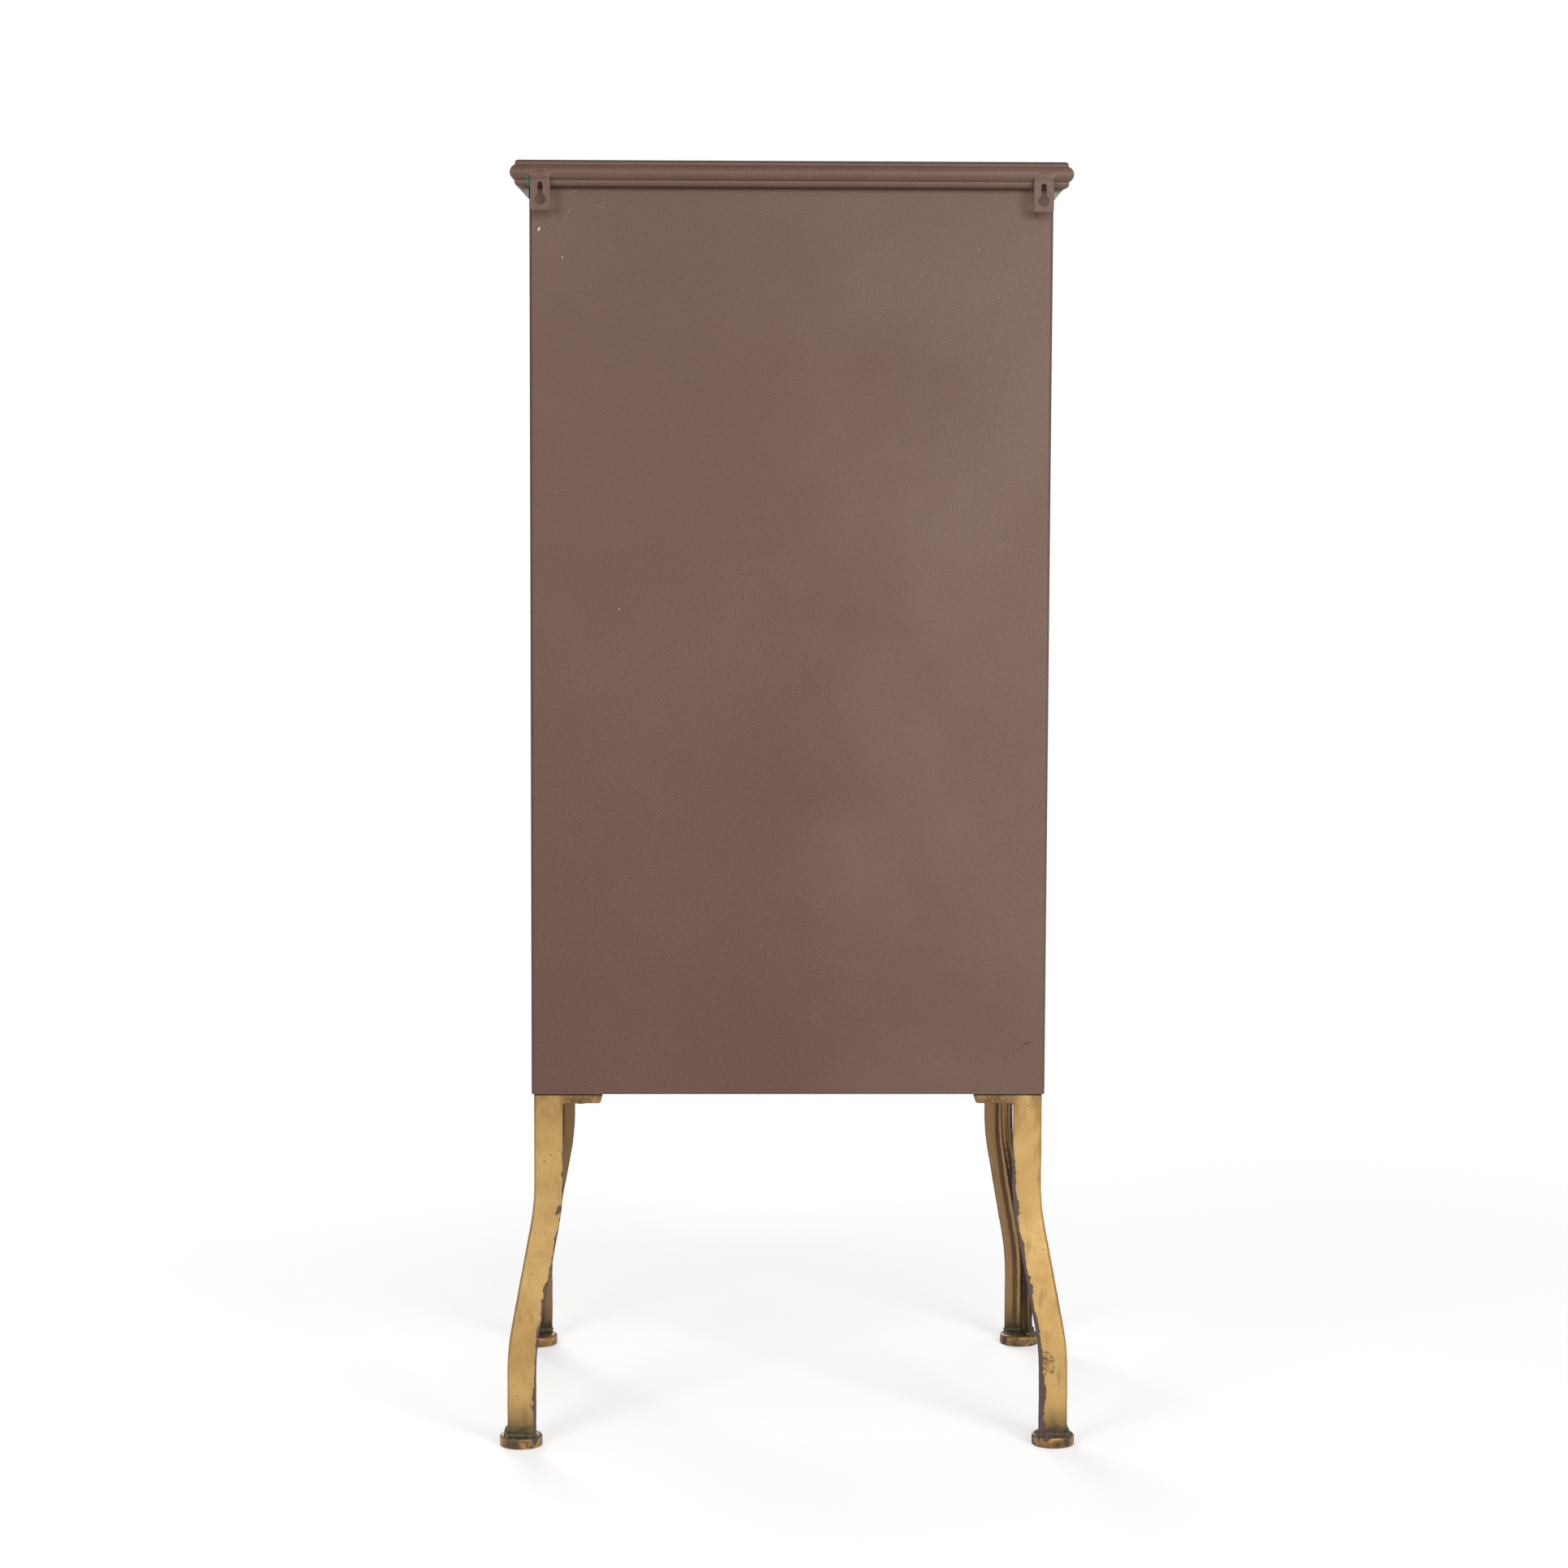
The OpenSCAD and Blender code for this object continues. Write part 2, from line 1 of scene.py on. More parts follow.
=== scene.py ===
# %% [markdown]
# # A small metal drawer cabinet on cast legs, seen from behind
#
# The cabinet is a folded sheet-steel case with six drawers in front, a moulded crown on top
# and four cast legs that splay outwards in two directions. Its back and its hangers were
# left in brown primer, its sides and front are in a worn green, and the legs are gilded.
# The exact parts are already there as a fixed frame. This file gives them their looks, and
# models again the few pieces whose surface is rougher than a machine-made solid: the
# castings, the welds and the hand-cut hangers.

# %% Load the frame
import json
import math

import bpy
import numpy as np
from mathutils import Matrix, Vector


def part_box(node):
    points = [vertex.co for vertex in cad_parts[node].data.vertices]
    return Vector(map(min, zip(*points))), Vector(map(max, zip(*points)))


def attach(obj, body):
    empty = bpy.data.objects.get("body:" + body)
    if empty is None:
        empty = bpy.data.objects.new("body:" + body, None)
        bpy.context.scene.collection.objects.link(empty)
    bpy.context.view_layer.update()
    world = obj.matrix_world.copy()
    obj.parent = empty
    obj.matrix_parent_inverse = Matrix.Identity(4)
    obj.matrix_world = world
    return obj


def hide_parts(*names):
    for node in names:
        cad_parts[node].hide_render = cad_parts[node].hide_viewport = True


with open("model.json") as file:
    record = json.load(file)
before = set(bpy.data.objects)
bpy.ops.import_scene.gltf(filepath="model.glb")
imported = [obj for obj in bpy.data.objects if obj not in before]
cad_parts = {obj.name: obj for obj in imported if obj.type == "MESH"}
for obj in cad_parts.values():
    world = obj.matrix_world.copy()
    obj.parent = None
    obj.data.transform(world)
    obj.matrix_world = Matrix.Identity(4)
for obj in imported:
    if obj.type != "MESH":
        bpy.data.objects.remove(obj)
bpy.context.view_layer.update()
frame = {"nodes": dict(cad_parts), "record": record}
print("solids in the frame:", len(frame["nodes"]))

# %% [markdown]
# ## The camera
#
# A product camera stands level with the upper third of the cabinet and looks slightly down,
# from more than three metres away, so that upright lines stay almost parallel. The camera's
# axes are written out from its turn, its tilt and its small roll.

# %% Camera
MM = 0.001  # a millimetre in metres, the scene's own unit
turn, tilt, roll = (math.radians(a) for a in (-1.233, 5.718, 0.209))
look = Vector((math.sin(turn) * math.cos(tilt), -math.cos(turn) * math.cos(tilt), -math.sin(tilt)))
across = look.cross(Vector((0, 0, 1))).normalized()
upward = across.cross(look)
across, upward = (across * math.cos(roll) + upward * math.sin(roll),
                  upward * math.cos(roll) - across * math.sin(roll))

camera = bpy.data.objects.new("product_camera", bpy.data.cameras.new("product_camera"))
bpy.context.scene.collection.objects.link(camera)
camera.matrix_world = Matrix((across, upward, -look)).transposed().to_4x4()
camera.location = Vector((79.7, 3654.7, 932.4)) * MM
camera.data.sensor_width = 36
camera.data.lens = 36 * 4951.6 / 1932
bpy.context.scene.camera = camera
print("camera lens in mm:", round(camera.data.lens, 1))

# %% [markdown]
# ## Colours and nodes
#
# Paint colours are given as sRGB hex values, while the renderer works in linear
# light, so one function turns the first into the second. A second function adds one node
# with its settings and its links, and a third turns the size of a speck or a cloud in
# millimetres into the scale that a noise node takes. Heights and places inside a material
# are in metres, as Object coordinates are.

# %% Helpers for materials
def linear(colour):
    channels = [int(colour[i:i + 2], 16) / 255 for i in (1, 3, 5)]
    return [c / 12.92 if c <= 0.04045 else ((c + 0.055) / 1.055) ** 2.4 for c in channels] + [1.0]


def add(tree, kind, inputs=None, stops=None, **settings):
    """Adds a node: inputs holds values, nodes or sockets; stops fills a colour ramp, ends first."""
    made = tree.nodes.new(kind)
    for name, value in settings.items():
        setattr(made, name, value)
    for name, value in (inputs or {}).items():
        if isinstance(value, bpy.types.Node):
            value = value.outputs[0]
        if isinstance(value, bpy.types.NodeSocket):
            tree.links.new(value, made.inputs[name])
        else:
            made.inputs[name].default_value = value
    for k, (place, colour) in enumerate(stops or []):
        bead = made.color_ramp.elements[k] if k < 2 else made.color_ramp.elements.new(place)
        bead.position = place
        bead.color = linear(colour) if isinstance(colour, str) else (colour, colour, colour, 1)
    return made


def every(mm):
    """Noise scale at which a pattern repeats about every so many millimetres."""
    return 1000 / mm


# %% [markdown]
# ## The studio
#
# The floor is pale and matt. The camera and reflections see it nearly white, by its own
# colour and a faint glow, so the lamps can stay at the plain level at which a paint renders
# as it was picked. Near the cabinet the floor still takes its soft shadow, and further out
# it turns evenly white, so that no horizon shows. To every other ray the floor is grey, so
# that little light comes back up from it and the mouldings' undersides stay dark. Past the
# floor the camera sees plain white, and everything else gets a weak even light from there.

# %% Floor
floor_metres = 24
bpy.ops.object.select_all(action="DESELECT")
bpy.ops.mesh.primitive_grid_add(x_subdivisions=8, y_subdivisions=8, size=floor_metres)
floor = bpy.context.object
floor.name = "studio_floor"

floor_paint = bpy.data.materials.new("matt_white_floor_paint")
floor_paint.use_nodes = True
tree = floor_paint.node_tree
tree.nodes.clear()
seen = add(tree, "ShaderNodeLightPath")
body = add(tree, "ShaderNodeBsdfDiffuse", {"Color": linear("#f4f4f3")})
bounce = add(tree, "ShaderNodeBsdfDiffuse", {"Color": linear("#8f8f8d")})
glow = add(tree, "ShaderNodeEmission", {"Color": (1, 1, 1, 1), "Strength": 0.34})
lit = add(tree, "ShaderNodeAddShader", {0: body, 1: glow})
backdrop = add(tree, "ShaderNodeEmission", {"Color": (1, 1, 1, 1), "Strength": 1.0})
spot = add(tree, "ShaderNodeTexCoord")
radius = add(tree, "ShaderNodeVectorMath", {0: spot.outputs["Object"]}, operation="LENGTH")
far = add(tree, "ShaderNodeMapRange", {"Value": radius.outputs["Value"], "From Min": 0.6,
                                       "From Max": 1.4})
fading = add(tree, "ShaderNodeMixShader", {"Fac": far, 1: lit, 2: backdrop})
shown = add(tree, "ShaderNodeMath", {0: seen.outputs["Is Camera Ray"],
                                     1: seen.outputs["Is Glossy Ray"]}, operation="MAXIMUM")
mix = add(tree, "ShaderNodeMixShader", {"Fac": shown, 1: bounce, 2: fading})
add(tree, "ShaderNodeOutputMaterial", {"Surface": mix})
floor.data.materials.append(floor_paint)
print("floor across in metres:", floor_metres)

# %% World
world = bpy.data.worlds.new("studio")
bpy.context.scene.world = world
world.use_nodes = True
tree = world.node_tree
tree.nodes.clear()
seen = add(tree, "ShaderNodeLightPath")
white = add(tree, "ShaderNodeBackground", {"Color": (1, 1, 1, 1), "Strength": 1.0})
soft = add(tree, "ShaderNodeBackground", {"Color": linear("#f3f4f6"), "Strength": 0.3})
mix = add(tree, "ShaderNodeMixShader", {"Fac": seen.outputs["Is Camera Ray"], 1: soft, 2: white})
add(tree, "ShaderNodeOutputWorld", {"Surface": mix})
print("world nodes:", len(tree.nodes))

# %% [markdown]
# ## The soft boxes
#
# A soft box is a lamp behind a large white cloth, and in Blender it is a square area light.
# The key stands to the camera's right, a weaker one fills from the left, and a third hangs
# just above the camera, where it catches the legs' upward-leaning faces. A last one lights
# the drawer side. Each is turned to look at a point on the cabinet.

# %% Soft boxes
for name, place, aim, width, watts in (
        ("right_soft_box", (-1.3, 2.3, 1.6), (-0.1, 0.15, 0.7), 0.9, 26),
        ("left_soft_box", (1.3, 2.3, 1.5), (0.1, 0.15, 0.7), 0.9, 19),
        ("camera_soft_box", (-0.35, 3.0, 1.9), (0.0, 0.1, 0.45), 1.2, 21),
        ("drawer_side_soft_box", (0.7, -2.6, 1.7), (0.0, -0.1, 0.6), 1.4, 40)):
    lamp = bpy.data.objects.new(name, bpy.data.lights.new(name, "AREA"))
    bpy.context.scene.collection.objects.link(lamp)
    lamp.data.shape = "SQUARE"
    lamp.data.size = width
    lamp.data.energy = watts
    lamp.location = place
    lamp.rotation_euler = (Vector(aim) - Vector(place)).to_track_quat("-Z", "Y").to_euler()
    print(name, "watts:", watts)

# %% [markdown]
# ## Satin brown primer
#
# The back, the crown's back moulding and the hangers are sprayed with an iron-oxide primer.
# Sprayed primer is satin, not gloss: its surface is a fine orange peel, one bump every
# millimetre or two, and the film is a little thicker here and thinner there, which shows as
# faint clouds a hand or two wide. The brown is painted paler towards the key lamp's side, as
# painted light, and the top of the panel is painted a shade darker than the rest, as painted
# shade. It is a paint, so its metallic is zero and its IOR that of a resin. A few flecks of
# cream filler, some faint scratches and one dark scuff lie where the panel was knocked. The
# keyholes' slots are painted dark brown inside, as painted shadow of the moulding's bead, a
# faint upright line runs down the panel, and the green of the sides came round the crown's
# end in one place. Each of these marks is a ragged patch painted over the last one.

# %% Helpers for a finish
def start(name, **skin_values):
    """A material, its nodes, its shader, and the socket for places on the piece."""
    made = bpy.data.materials.new(name)
    made.use_nodes = True
    tree = made.node_tree
    tree.nodes.clear()
    skin = add(tree, "ShaderNodeBsdfPrincipled", skin_values)
    add(tree, "ShaderNodeOutputMaterial", {"Surface": skin})
    spot = add(tree, "ShaderNodeTexCoord")
    return made, tree, skin, spot.outputs["Object"]


# The sockets of a Mix node when it mixes colours: three inputs and the output
FACTOR, COLOUR_A, COLOUR_B, COLOUR = 0, 6, 7, 2


def patch(tree, where, ragged, place_mm, size_mm, lean=0):
    """A mask that is 1 inside one ragged patch, given by its place, its size and its lean.

    The noise is 0.5 on average and adds 0.8 of itself to the distance, so the border lies
    where the distance is 1, which is the patch's own size."""
    centred = add(tree, "ShaderNodeMapping",
                  {"Vector": where, "Location": [mm * MM for mm in place_mm],
                   "Rotation": (0, math.radians(lean), 0),
                   "Scale": [mm * MM / 2 for mm in size_mm]}, vector_type="TEXTURE")
    far = add(tree, "ShaderNodeVectorMath", {0: centred}, operation="LENGTH")
    torn = add(tree, "ShaderNodeMath", {0: ragged, 1: 0.8, 2: far.outputs["Value"]},
               operation="MULTIPLY_ADD")
    return add(tree, "ShaderNodeMapRange", {"Value": torn, "From Min": 1.45, "From Max": 1.36})


# %% Satin brown primer: the film, its grain, and painted light and shade
primer, tree, skin, where = start("satin_brown_primer", IOR=1.5, Roughness=0.52, Metallic=0.0)
axes = add(tree, "ShaderNodeSeparateXYZ", {0: where})
clouds = add(tree, "ShaderNodeTexNoise", {"Vector": where, "Scale": every(150), "Detail": 3.0,
                                          "Roughness": 0.55})
patchy = add(tree, "ShaderNodeMapRange", {"Value": clouds, "To Min": 0.32, "To Max": 0.60})
drifting = add(tree, "ShaderNodeMath", {0: clouds, 1: -0.2, 2: axes.outputs["X"]},
               operation="MULTIPLY_ADD")
# Painted light: the brown is painted paler towards the key lamp's side
one_side = add(tree, "ShaderNodeMapRange", {"Value": drifting, "From Min": -0.07, "From Max": -0.33,
                                            "To Min": 0.0, "To Max": 0.22},
               interpolation_type="SMOOTHSTEP")
paler = add(tree, "ShaderNodeMath", {0: patchy, 1: one_side}, operation="ADD")
film = add(tree, "ShaderNodeValToRGB", {"Fac": paler},
           stops=[(0.26, "#704f41"), (0.72, "#8b6c5b"), (0.46, "#7b594b")])
grain = add(tree, "ShaderNodeTexNoise", {"Vector": where, "Scale": every(1.3), "Detail": 4.0,
                                         "Roughness": 0.8})
grain_tone = add(tree, "ShaderNodeValToRGB", {"Fac": grain}, stops=[(0.38, 0.60), (0.62, 1.0)])
# Painted shade: the top of the panel is painted a shade darker than the rest
high_up = add(tree, "ShaderNodeMapRange", {"Value": axes.outputs["Z"], "From Min": 0.70,
                                           "From Max": 1.03, "To Min": 0.97, "To Max": 0.85})
toned = add(tree, "ShaderNodeMath", {0: grain_tone, 1: high_up}, operation="MULTIPLY")
speckled = add(tree, "ShaderNodeMix", {FACTOR: 1.0, COLOUR_A: film, COLOUR_B: toned},
               data_type="RGBA", blend_type="MULTIPLY")
print("primer film and grain, nodes:", len(tree.nodes))

# %% Satin brown primer: flecks, scratches and dirt
ragged = add(tree, "ShaderNodeTexNoise", {"Vector": where, "Scale": every(1.2)})
flecked = speckled.outputs[COLOUR]
any_depth_mm = 1e6
# Flecks: place on the panel in mm, width, height, lean in degrees, colour
for fleck_x, fleck_z, fleck_w, fleck_h, lean, colour in (
        (216.6, 1061.8, 1.7, 3.4, -18, "#e6cf9c"), (196.5, 1037.8, 1.2, 1.8, -25, "#cdb9a6"),
        (148.0, 736.4, 1.0, 1.2, 0, "#d6c8b4"), (191.3, 1077.0, 0.8, 2.2, -12, "#97796a"),
        (-208.6, 355.9, 7.0, 1.2, 18, "#3c3530"), (187.4, 1093.5, 9.0, 0.5, 14, "#857267"),
        (167.0, 1081.5, 18.0, 0.4, -12, "#816e63"), (-161.0, 1046.0, 1.1, 1.7, 0, "#9b7e6c"),
        # The two dark brown patches at ±214.8 mm are painted shadow of the bead in the keyhole
        # slots
        (225.7, 1101.8, 3.2, 8.5, 8, "#3f7d62"), (214.8, 1098.2, 3.2, 4.6, 0, "#2a2018"),
        (-214.8, 1098.2, 2.4, 5.0, 0, "#2a2018"), (-160.0, 901.5, 1.2, 175.0, 0, "#70574a")):
    inside = patch(tree, where, ragged, (fleck_x, 0, fleck_z), (fleck_w, any_depth_mm, fleck_h),
                   lean)
    fleck = add(tree, "ShaderNodeMix", {FACTOR: inside, COLOUR_A: flecked,
                                        COLOUR_B: linear(colour)}, data_type="RGBA")
    flecked = fleck.outputs[COLOUR]
tree.links.new(flecked, skin.inputs["Base Color"])
print("primer with its marks, nodes:", len(tree.nodes))

# %% Satin brown primer: orange peel and gentle waves in the sheet
peel = add(tree, "ShaderNodeBump", {"Height": grain, "Strength": 0.25, "Distance": 0.06 * MM})
dents = add(tree, "ShaderNodeTexNoise", {"Vector": where, "Scale": every(190), "Detail": 1.0})
waves = add(tree, "ShaderNodeBump", {"Height": dents, "Normal": peel, "Strength": 0.6,
                                     "Distance": 4 * MM})
tree.links.new(waves.outputs["Normal"], skin.inputs["Normal"])
print("primer nodes:", len(tree.nodes))

# %% [markdown]
# ## Rubbed verdigris paint
#
# The sides, the top, the crown, the face frame and the drawer fronts wear a green that was
# mixed to look like weathered copper. It is brushed on in two or three tones, left to dry
# chalky, and rubbed back until the brown primer shows along every edge and in small spots.
# The edges are found by asking how far a rounded normal departs from the true one, and a
# noise makes the rubbed line ragged. The last two centimetres of the crown and the top took
# the primer's overspray from the back, the cove's cut ends there were closed with a pale
# grey filler, and the top's back edge is painted darker, as painted shade.

# %% Rubbed verdigris paint: brushed, and rubbed back along the edges
verdigris, tree, skin, where = start("rubbed_verdigris_paint", IOR=1.5, Metallic=0.0)
stretched = add(tree, "ShaderNodeMapping", {"Vector": where, "Scale": (1, 1, 0.55)})
brushed = add(tree, "ShaderNodeTexNoise", {"Vector": stretched, "Scale": every(75), "Detail": 7.0,
                                           "Roughness": 0.62})
coat = add(tree, "ShaderNodeValToRGB", {"Fac": brushed},
           stops=[(0.34, "#2c5a4c"), (0.72, "#a3b9a8"), (0.46, "#447a68"), (0.56, "#6c9a87")])
soft_edge = add(tree, "ShaderNodeBevel", {"Radius": 2.6 * MM}, samples=6)
true_face = add(tree, "ShaderNodeNewGeometry")
match = add(tree, "ShaderNodeVectorMath", {0: soft_edge, 1: true_face.outputs["Normal"]},
            operation="DOT_PRODUCT")
edge = add(tree, "ShaderNodeMath", {0: 1.0, 1: match.outputs["Value"]}, operation="SUBTRACT")
ragged = add(tree, "ShaderNodeTexNoise", {"Vector": where, "Scale": every(16), "Detail": 6.0,
                                          "Roughness": 0.65})
rub = add(tree, "ShaderNodeMath", {0: edge, 1: 3.2, 2: ragged}, operation="MULTIPLY_ADD")
bare = add(tree, "ShaderNodeValToRGB", {"Fac": rub}, stops=[(0.655, 0.0), (0.675, 1.0)])
under = add(tree, "ShaderNodeValToRGB", {"Fac": brushed},
            stops=[(0.4, "#5c4438"), (0.6, "#74594b")])
rubbed = add(tree, "ShaderNodeMix", {FACTOR: bare, COLOUR_A: coat, COLOUR_B: under},
             data_type="RGBA")
print("brushed and rubbed green, nodes:", len(tree.nodes))

# %% Rubbed verdigris paint: overspray, filler and painted shade near the back
overspray_starts, overspray_full = 0.184, 0.192
bead_under, cove_top, just_past_wall = 1.0990, 1.0975, 0.2254
edge_shade_starts, edge_shade_full = 1.1171, 1.1184
axes = add(tree, "ShaderNodeSeparateXYZ", {0: where})
drift = add(tree, "ShaderNodeMath", {0: ragged, 1: 0.03, 2: axes.outputs["Y"]},
            operation="MULTIPLY_ADD")
behind = add(tree, "ShaderNodeMapRange", {"Value": drift, "From Min": overspray_starts,
                                          "From Max": overspray_full})
cove_end = add(tree, "ShaderNodeMapRange", {"Value": axes.outputs["Z"], "From Min": bead_under,
                                            "From Max": cove_top})
from_middle = add(tree, "ShaderNodeMath", {0: axes.outputs["X"]}, operation="ABSOLUTE")
on_cove = add(tree, "ShaderNodeMath", {0: from_middle, 1: just_past_wall}, operation="GREATER_THAN")
filled = add(tree, "ShaderNodeMath", {0: cove_end, 1: on_cove}, operation="MULTIPLY")
sprayed = add(tree, "ShaderNodeMix", {FACTOR: filled, COLOUR_A: linear("#785a4b"),
                                      COLOUR_B: linear("#9b978b")}, data_type="RGBA")
oversprayed = add(tree, "ShaderNodeMix", {FACTOR: behind, COLOUR_A: rubbed.outputs[COLOUR],
                                          COLOUR_B: sprayed.outputs[COLOUR]}, data_type="RGBA")
# Painted shade: a thin band along the top's back edge is painted darker
top_edge = add(tree, "ShaderNodeMapRange", {"Value": axes.outputs["Z"], "From Min": edge_shade_starts,
                                            "From Max": edge_shade_full})
painted_shade_top_edge = add(tree, "ShaderNodeMath", {0: top_edge, 1: behind}, operation="MULTIPLY")
painted_edge_shade = add(tree, "ShaderNodeMix", {FACTOR: painted_shade_top_edge, COLOUR_A: oversprayed.outputs[COLOUR],
                                    COLOUR_B: linear("#524137")}, data_type="RGBA")
tree.links.new(painted_edge_shade.outputs[COLOUR], skin.inputs["Base Color"])
chalk = add(tree, "ShaderNodeMapRange", {"Value": bare, "To Min": 0.62, "To Max": 0.42})
tree.links.new(chalk.outputs["Result"], skin.inputs["Roughness"])
film = add(tree, "ShaderNodeMath", {0: brushed, 1: bare}, operation="SUBTRACT")
step = add(tree, "ShaderNodeBump", {"Height": film, "Strength": 0.5, "Distance": 0.25 * MM})
tree.links.new(step.outputs["Normal"], skin.inputs["Normal"])
print("verdigris nodes:", len(tree.nodes))

# %% [markdown]
# ## Gilt on cast iron
#
# The legs are iron castings, primed purplish brown and then brushed with bronze-powder
# gilding. The gilding is a paint full of flat metal flakes, so it is only partly metallic
# and fairly rough. It is bright on the outer faces and dull on the arms, and the legs on the
# key lamp's side are painted a little brighter, as painted light. Along the rounded corner it
# is painted orange, as painted shade where the corner turns away. On the inner faces it is
# brown, with painted light and shade on it: a painted highlight on the raised rib, painted
# shade in the hollow beside it and painted shadow beyond. It has flaked off along the
# flanges' inner edges, mostly in a narrow band. The powder itself is far too fine to show,
# and is drawn as grains 0.8 mm wide. Four numbers are kept on each leg's mesh for the rest:
# how far a point lies from the flange's edge, how far across its own face it lies, which way
# its face looks, and how far out on an arm it is.

# %% Gilt on cast iron: what it reads, and its noises
flange_mm = 25.4
gilt, tree, skin, where = start("bronze_powder_gilt", IOR=1.5)
from_edge = add(tree, "ShaderNodeAttribute", attribute_name="mm_from_edge")
across = add(tree, "ShaderNodeAttribute", attribute_name="mm_across")
outward = add(tree, "ShaderNodeAttribute", attribute_name="outward")
on_arm = add(tree, "ShaderNodeAttribute", attribute_name="on_arm")
axes = add(tree, "ShaderNodeSeparateXYZ", {0: where})
powder = add(tree, "ShaderNodeTexNoise", {"Vector": where, "Scale": every(0.8), "Detail": 2.0})
drawn = add(tree, "ShaderNodeMapping", {"Vector": where, "Scale": (1, 1, 0.3)})
streaks = add(tree, "ShaderNodeTexNoise", {"Vector": drawn, "Scale": every(9), "Detail": 2.0,
                                           "Roughness": 0.5})
clouds = add(tree, "ShaderNodeTexNoise", {"Vector": where, "Scale": every(30), "Detail": 4.0})
tear = add(tree, "ShaderNodeTexNoise", {"Vector": where, "Scale": every(4), "Detail": 3.0,
                                        "Roughness": 0.6})
smudges = add(tree, "ShaderNodeTexNoise", {"Vector": where, "Scale": every(11), "Detail": 5.0,
                                           "Roughness": 0.65})
print("gilt's noises, nodes:", len(tree.nodes))

# %% Gilt: bright on the outer faces, dull on the arms, painted light and shade inside
bright = add(tree, "ShaderNodeValToRGB", {"Fac": clouds},
             stops=[(0.33, "#cda363"), (0.66, "#dfb874"), (0.5, "#d7ae6b")])
arm_gilt = add(tree, "ShaderNodeValToRGB", {"Fac": smudges},
               stops=[(0.36, "#5b4330"), (0.66, "#c09a62"), (0.46, "#8a6a47"), (0.55, "#a98656")])
outside = add(tree, "ShaderNodeMix", {FACTOR: on_arm.outputs["Fac"], COLOUR_A: bright,
                                      COLOUR_B: arm_gilt}, data_type="RGBA")
flange_share = add(tree, "ShaderNodeMath", {0: across.outputs["Fac"], 1: flange_mm},
                   operation="DIVIDE")
rib_shift = add(tree, "ShaderNodeMapRange", {"Value": axes.outputs["Z"], "From Min": 0.16,
                                             "From Max": 0.27, "To Min": 0.05, "To Max": 0.21})
blurred_share = add(tree, "ShaderNodeMath", {0: tear, 1: 0.1, 2: flange_share},
                    operation="MULTIPLY_ADD")
rib_share = add(tree, "ShaderNodeMath", {0: blurred_share, 1: rib_shift}, operation="SUBTRACT")
# Inner faces: painted shade in the hollow, a painted highlight on the rib, painted shadow past it
inner_painted_light_and_shade = add(tree, "ShaderNodeValToRGB", {"Fac": rib_share},
           stops=[(0.0, "#a58257"), (1.0, "#3c2715"), (0.27, "#a07d52"), (0.34, "#5c442c"),
                  (0.45, "#654b30"), (0.50, "#c49a62"), (0.62, "#b68d5c"), (0.68, "#3c2715")])
facing = add(tree, "ShaderNodeValToRGB", {"Fac": outward.outputs["Fac"]},
             stops=[(0.35, 0.0), (0.75, 1.0)])
painted = add(tree, "ShaderNodeMix", {FACTOR: facing, COLOUR_A: inner_painted_light_and_shade,
                                      COLOUR_B: outside.outputs[COLOUR]}, data_type="RGBA")
powder_tone = add(tree, "ShaderNodeValToRGB", {"Fac": powder}, stops=[(0.32, 0.88), (0.64, 1.0)])
# Painted light: the legs on the key lamp's side are painted a little brighter
painted_light_by_side = add(tree, "ShaderNodeMapRange", {"Value": axes.outputs["X"], "From Min": 0.1,
                                         "From Max": -0.1, "To Min": 0.92, "To Max": 1.07})
tone = add(tree, "ShaderNodeMath", {0: powder_tone, 1: painted_light_by_side}, operation="MULTIPLY")
powder_and_painted_light = add(tree, "ShaderNodeMix", {FACTOR: 1.0, COLOUR_A: painted.outputs[COLOUR],
                                     COLOUR_B: tone}, data_type="RGBA", blend_type="MULTIPLY")
print("gilt on faces and arms, nodes:", len(tree.nodes))

# %% Gilt: painted shade on the corner, dirt and green crust at the foot
# Painted shade: where the rounded corner turns away, it is painted orange
corner = add(tree, "ShaderNodeValToRGB", {"Fac": outward.outputs["Fac"]},
             stops=[(0.60, 0.0), (0.72, 0.6), (0.86, 0.0), (1.0, 0.0)])
painted_edge_shade = add(tree, "ShaderNodeMix", {FACTOR: corner, COLOUR_A: powder_and_painted_light.outputs[COLOUR],
                                    COLOUR_B: linear("#a86d33")}, data_type="RGBA")
wobble = add(tree, "ShaderNodeMath", {0: streaks, 1: 0.02, 2: axes.outputs["Z"]},
             operation="MULTIPLY_ADD")
low = add(tree, "ShaderNodeMapRange", {"Value": wobble, "From Min": 0.019, "From Max": 0.056,
                                       "To Min": 0.85, "To Max": 0.0},
          interpolation_type="SMOOTHSTEP")
soiled = add(tree, "ShaderNodeMix", {FACTOR: low, COLOUR_A: painted_edge_shade.outputs[COLOUR],
                                     COLOUR_B: linear("#5a4a31")}, data_type="RGBA")
crust_height = add(tree, "ShaderNodeMath", {0: smudges, 1: 0.03, 2: axes.outputs["Z"]},
                   operation="MULTIPLY_ADD")
crust = add(tree, "ShaderNodeMapRange", {"Value": crust_height, "From Min": 0.0285,
                                         "From Max": 0.0365, "To Min": 0.85, "To Max": 0.0})
crusted = add(tree, "ShaderNodeMix", {FACTOR: crust, COLOUR_A: soiled.outputs[COLOUR],
                                      COLOUR_B: linear("#3f3e2b")}, data_type="RGBA")
print("gilt's corner and foot, nodes:", len(tree.nodes))

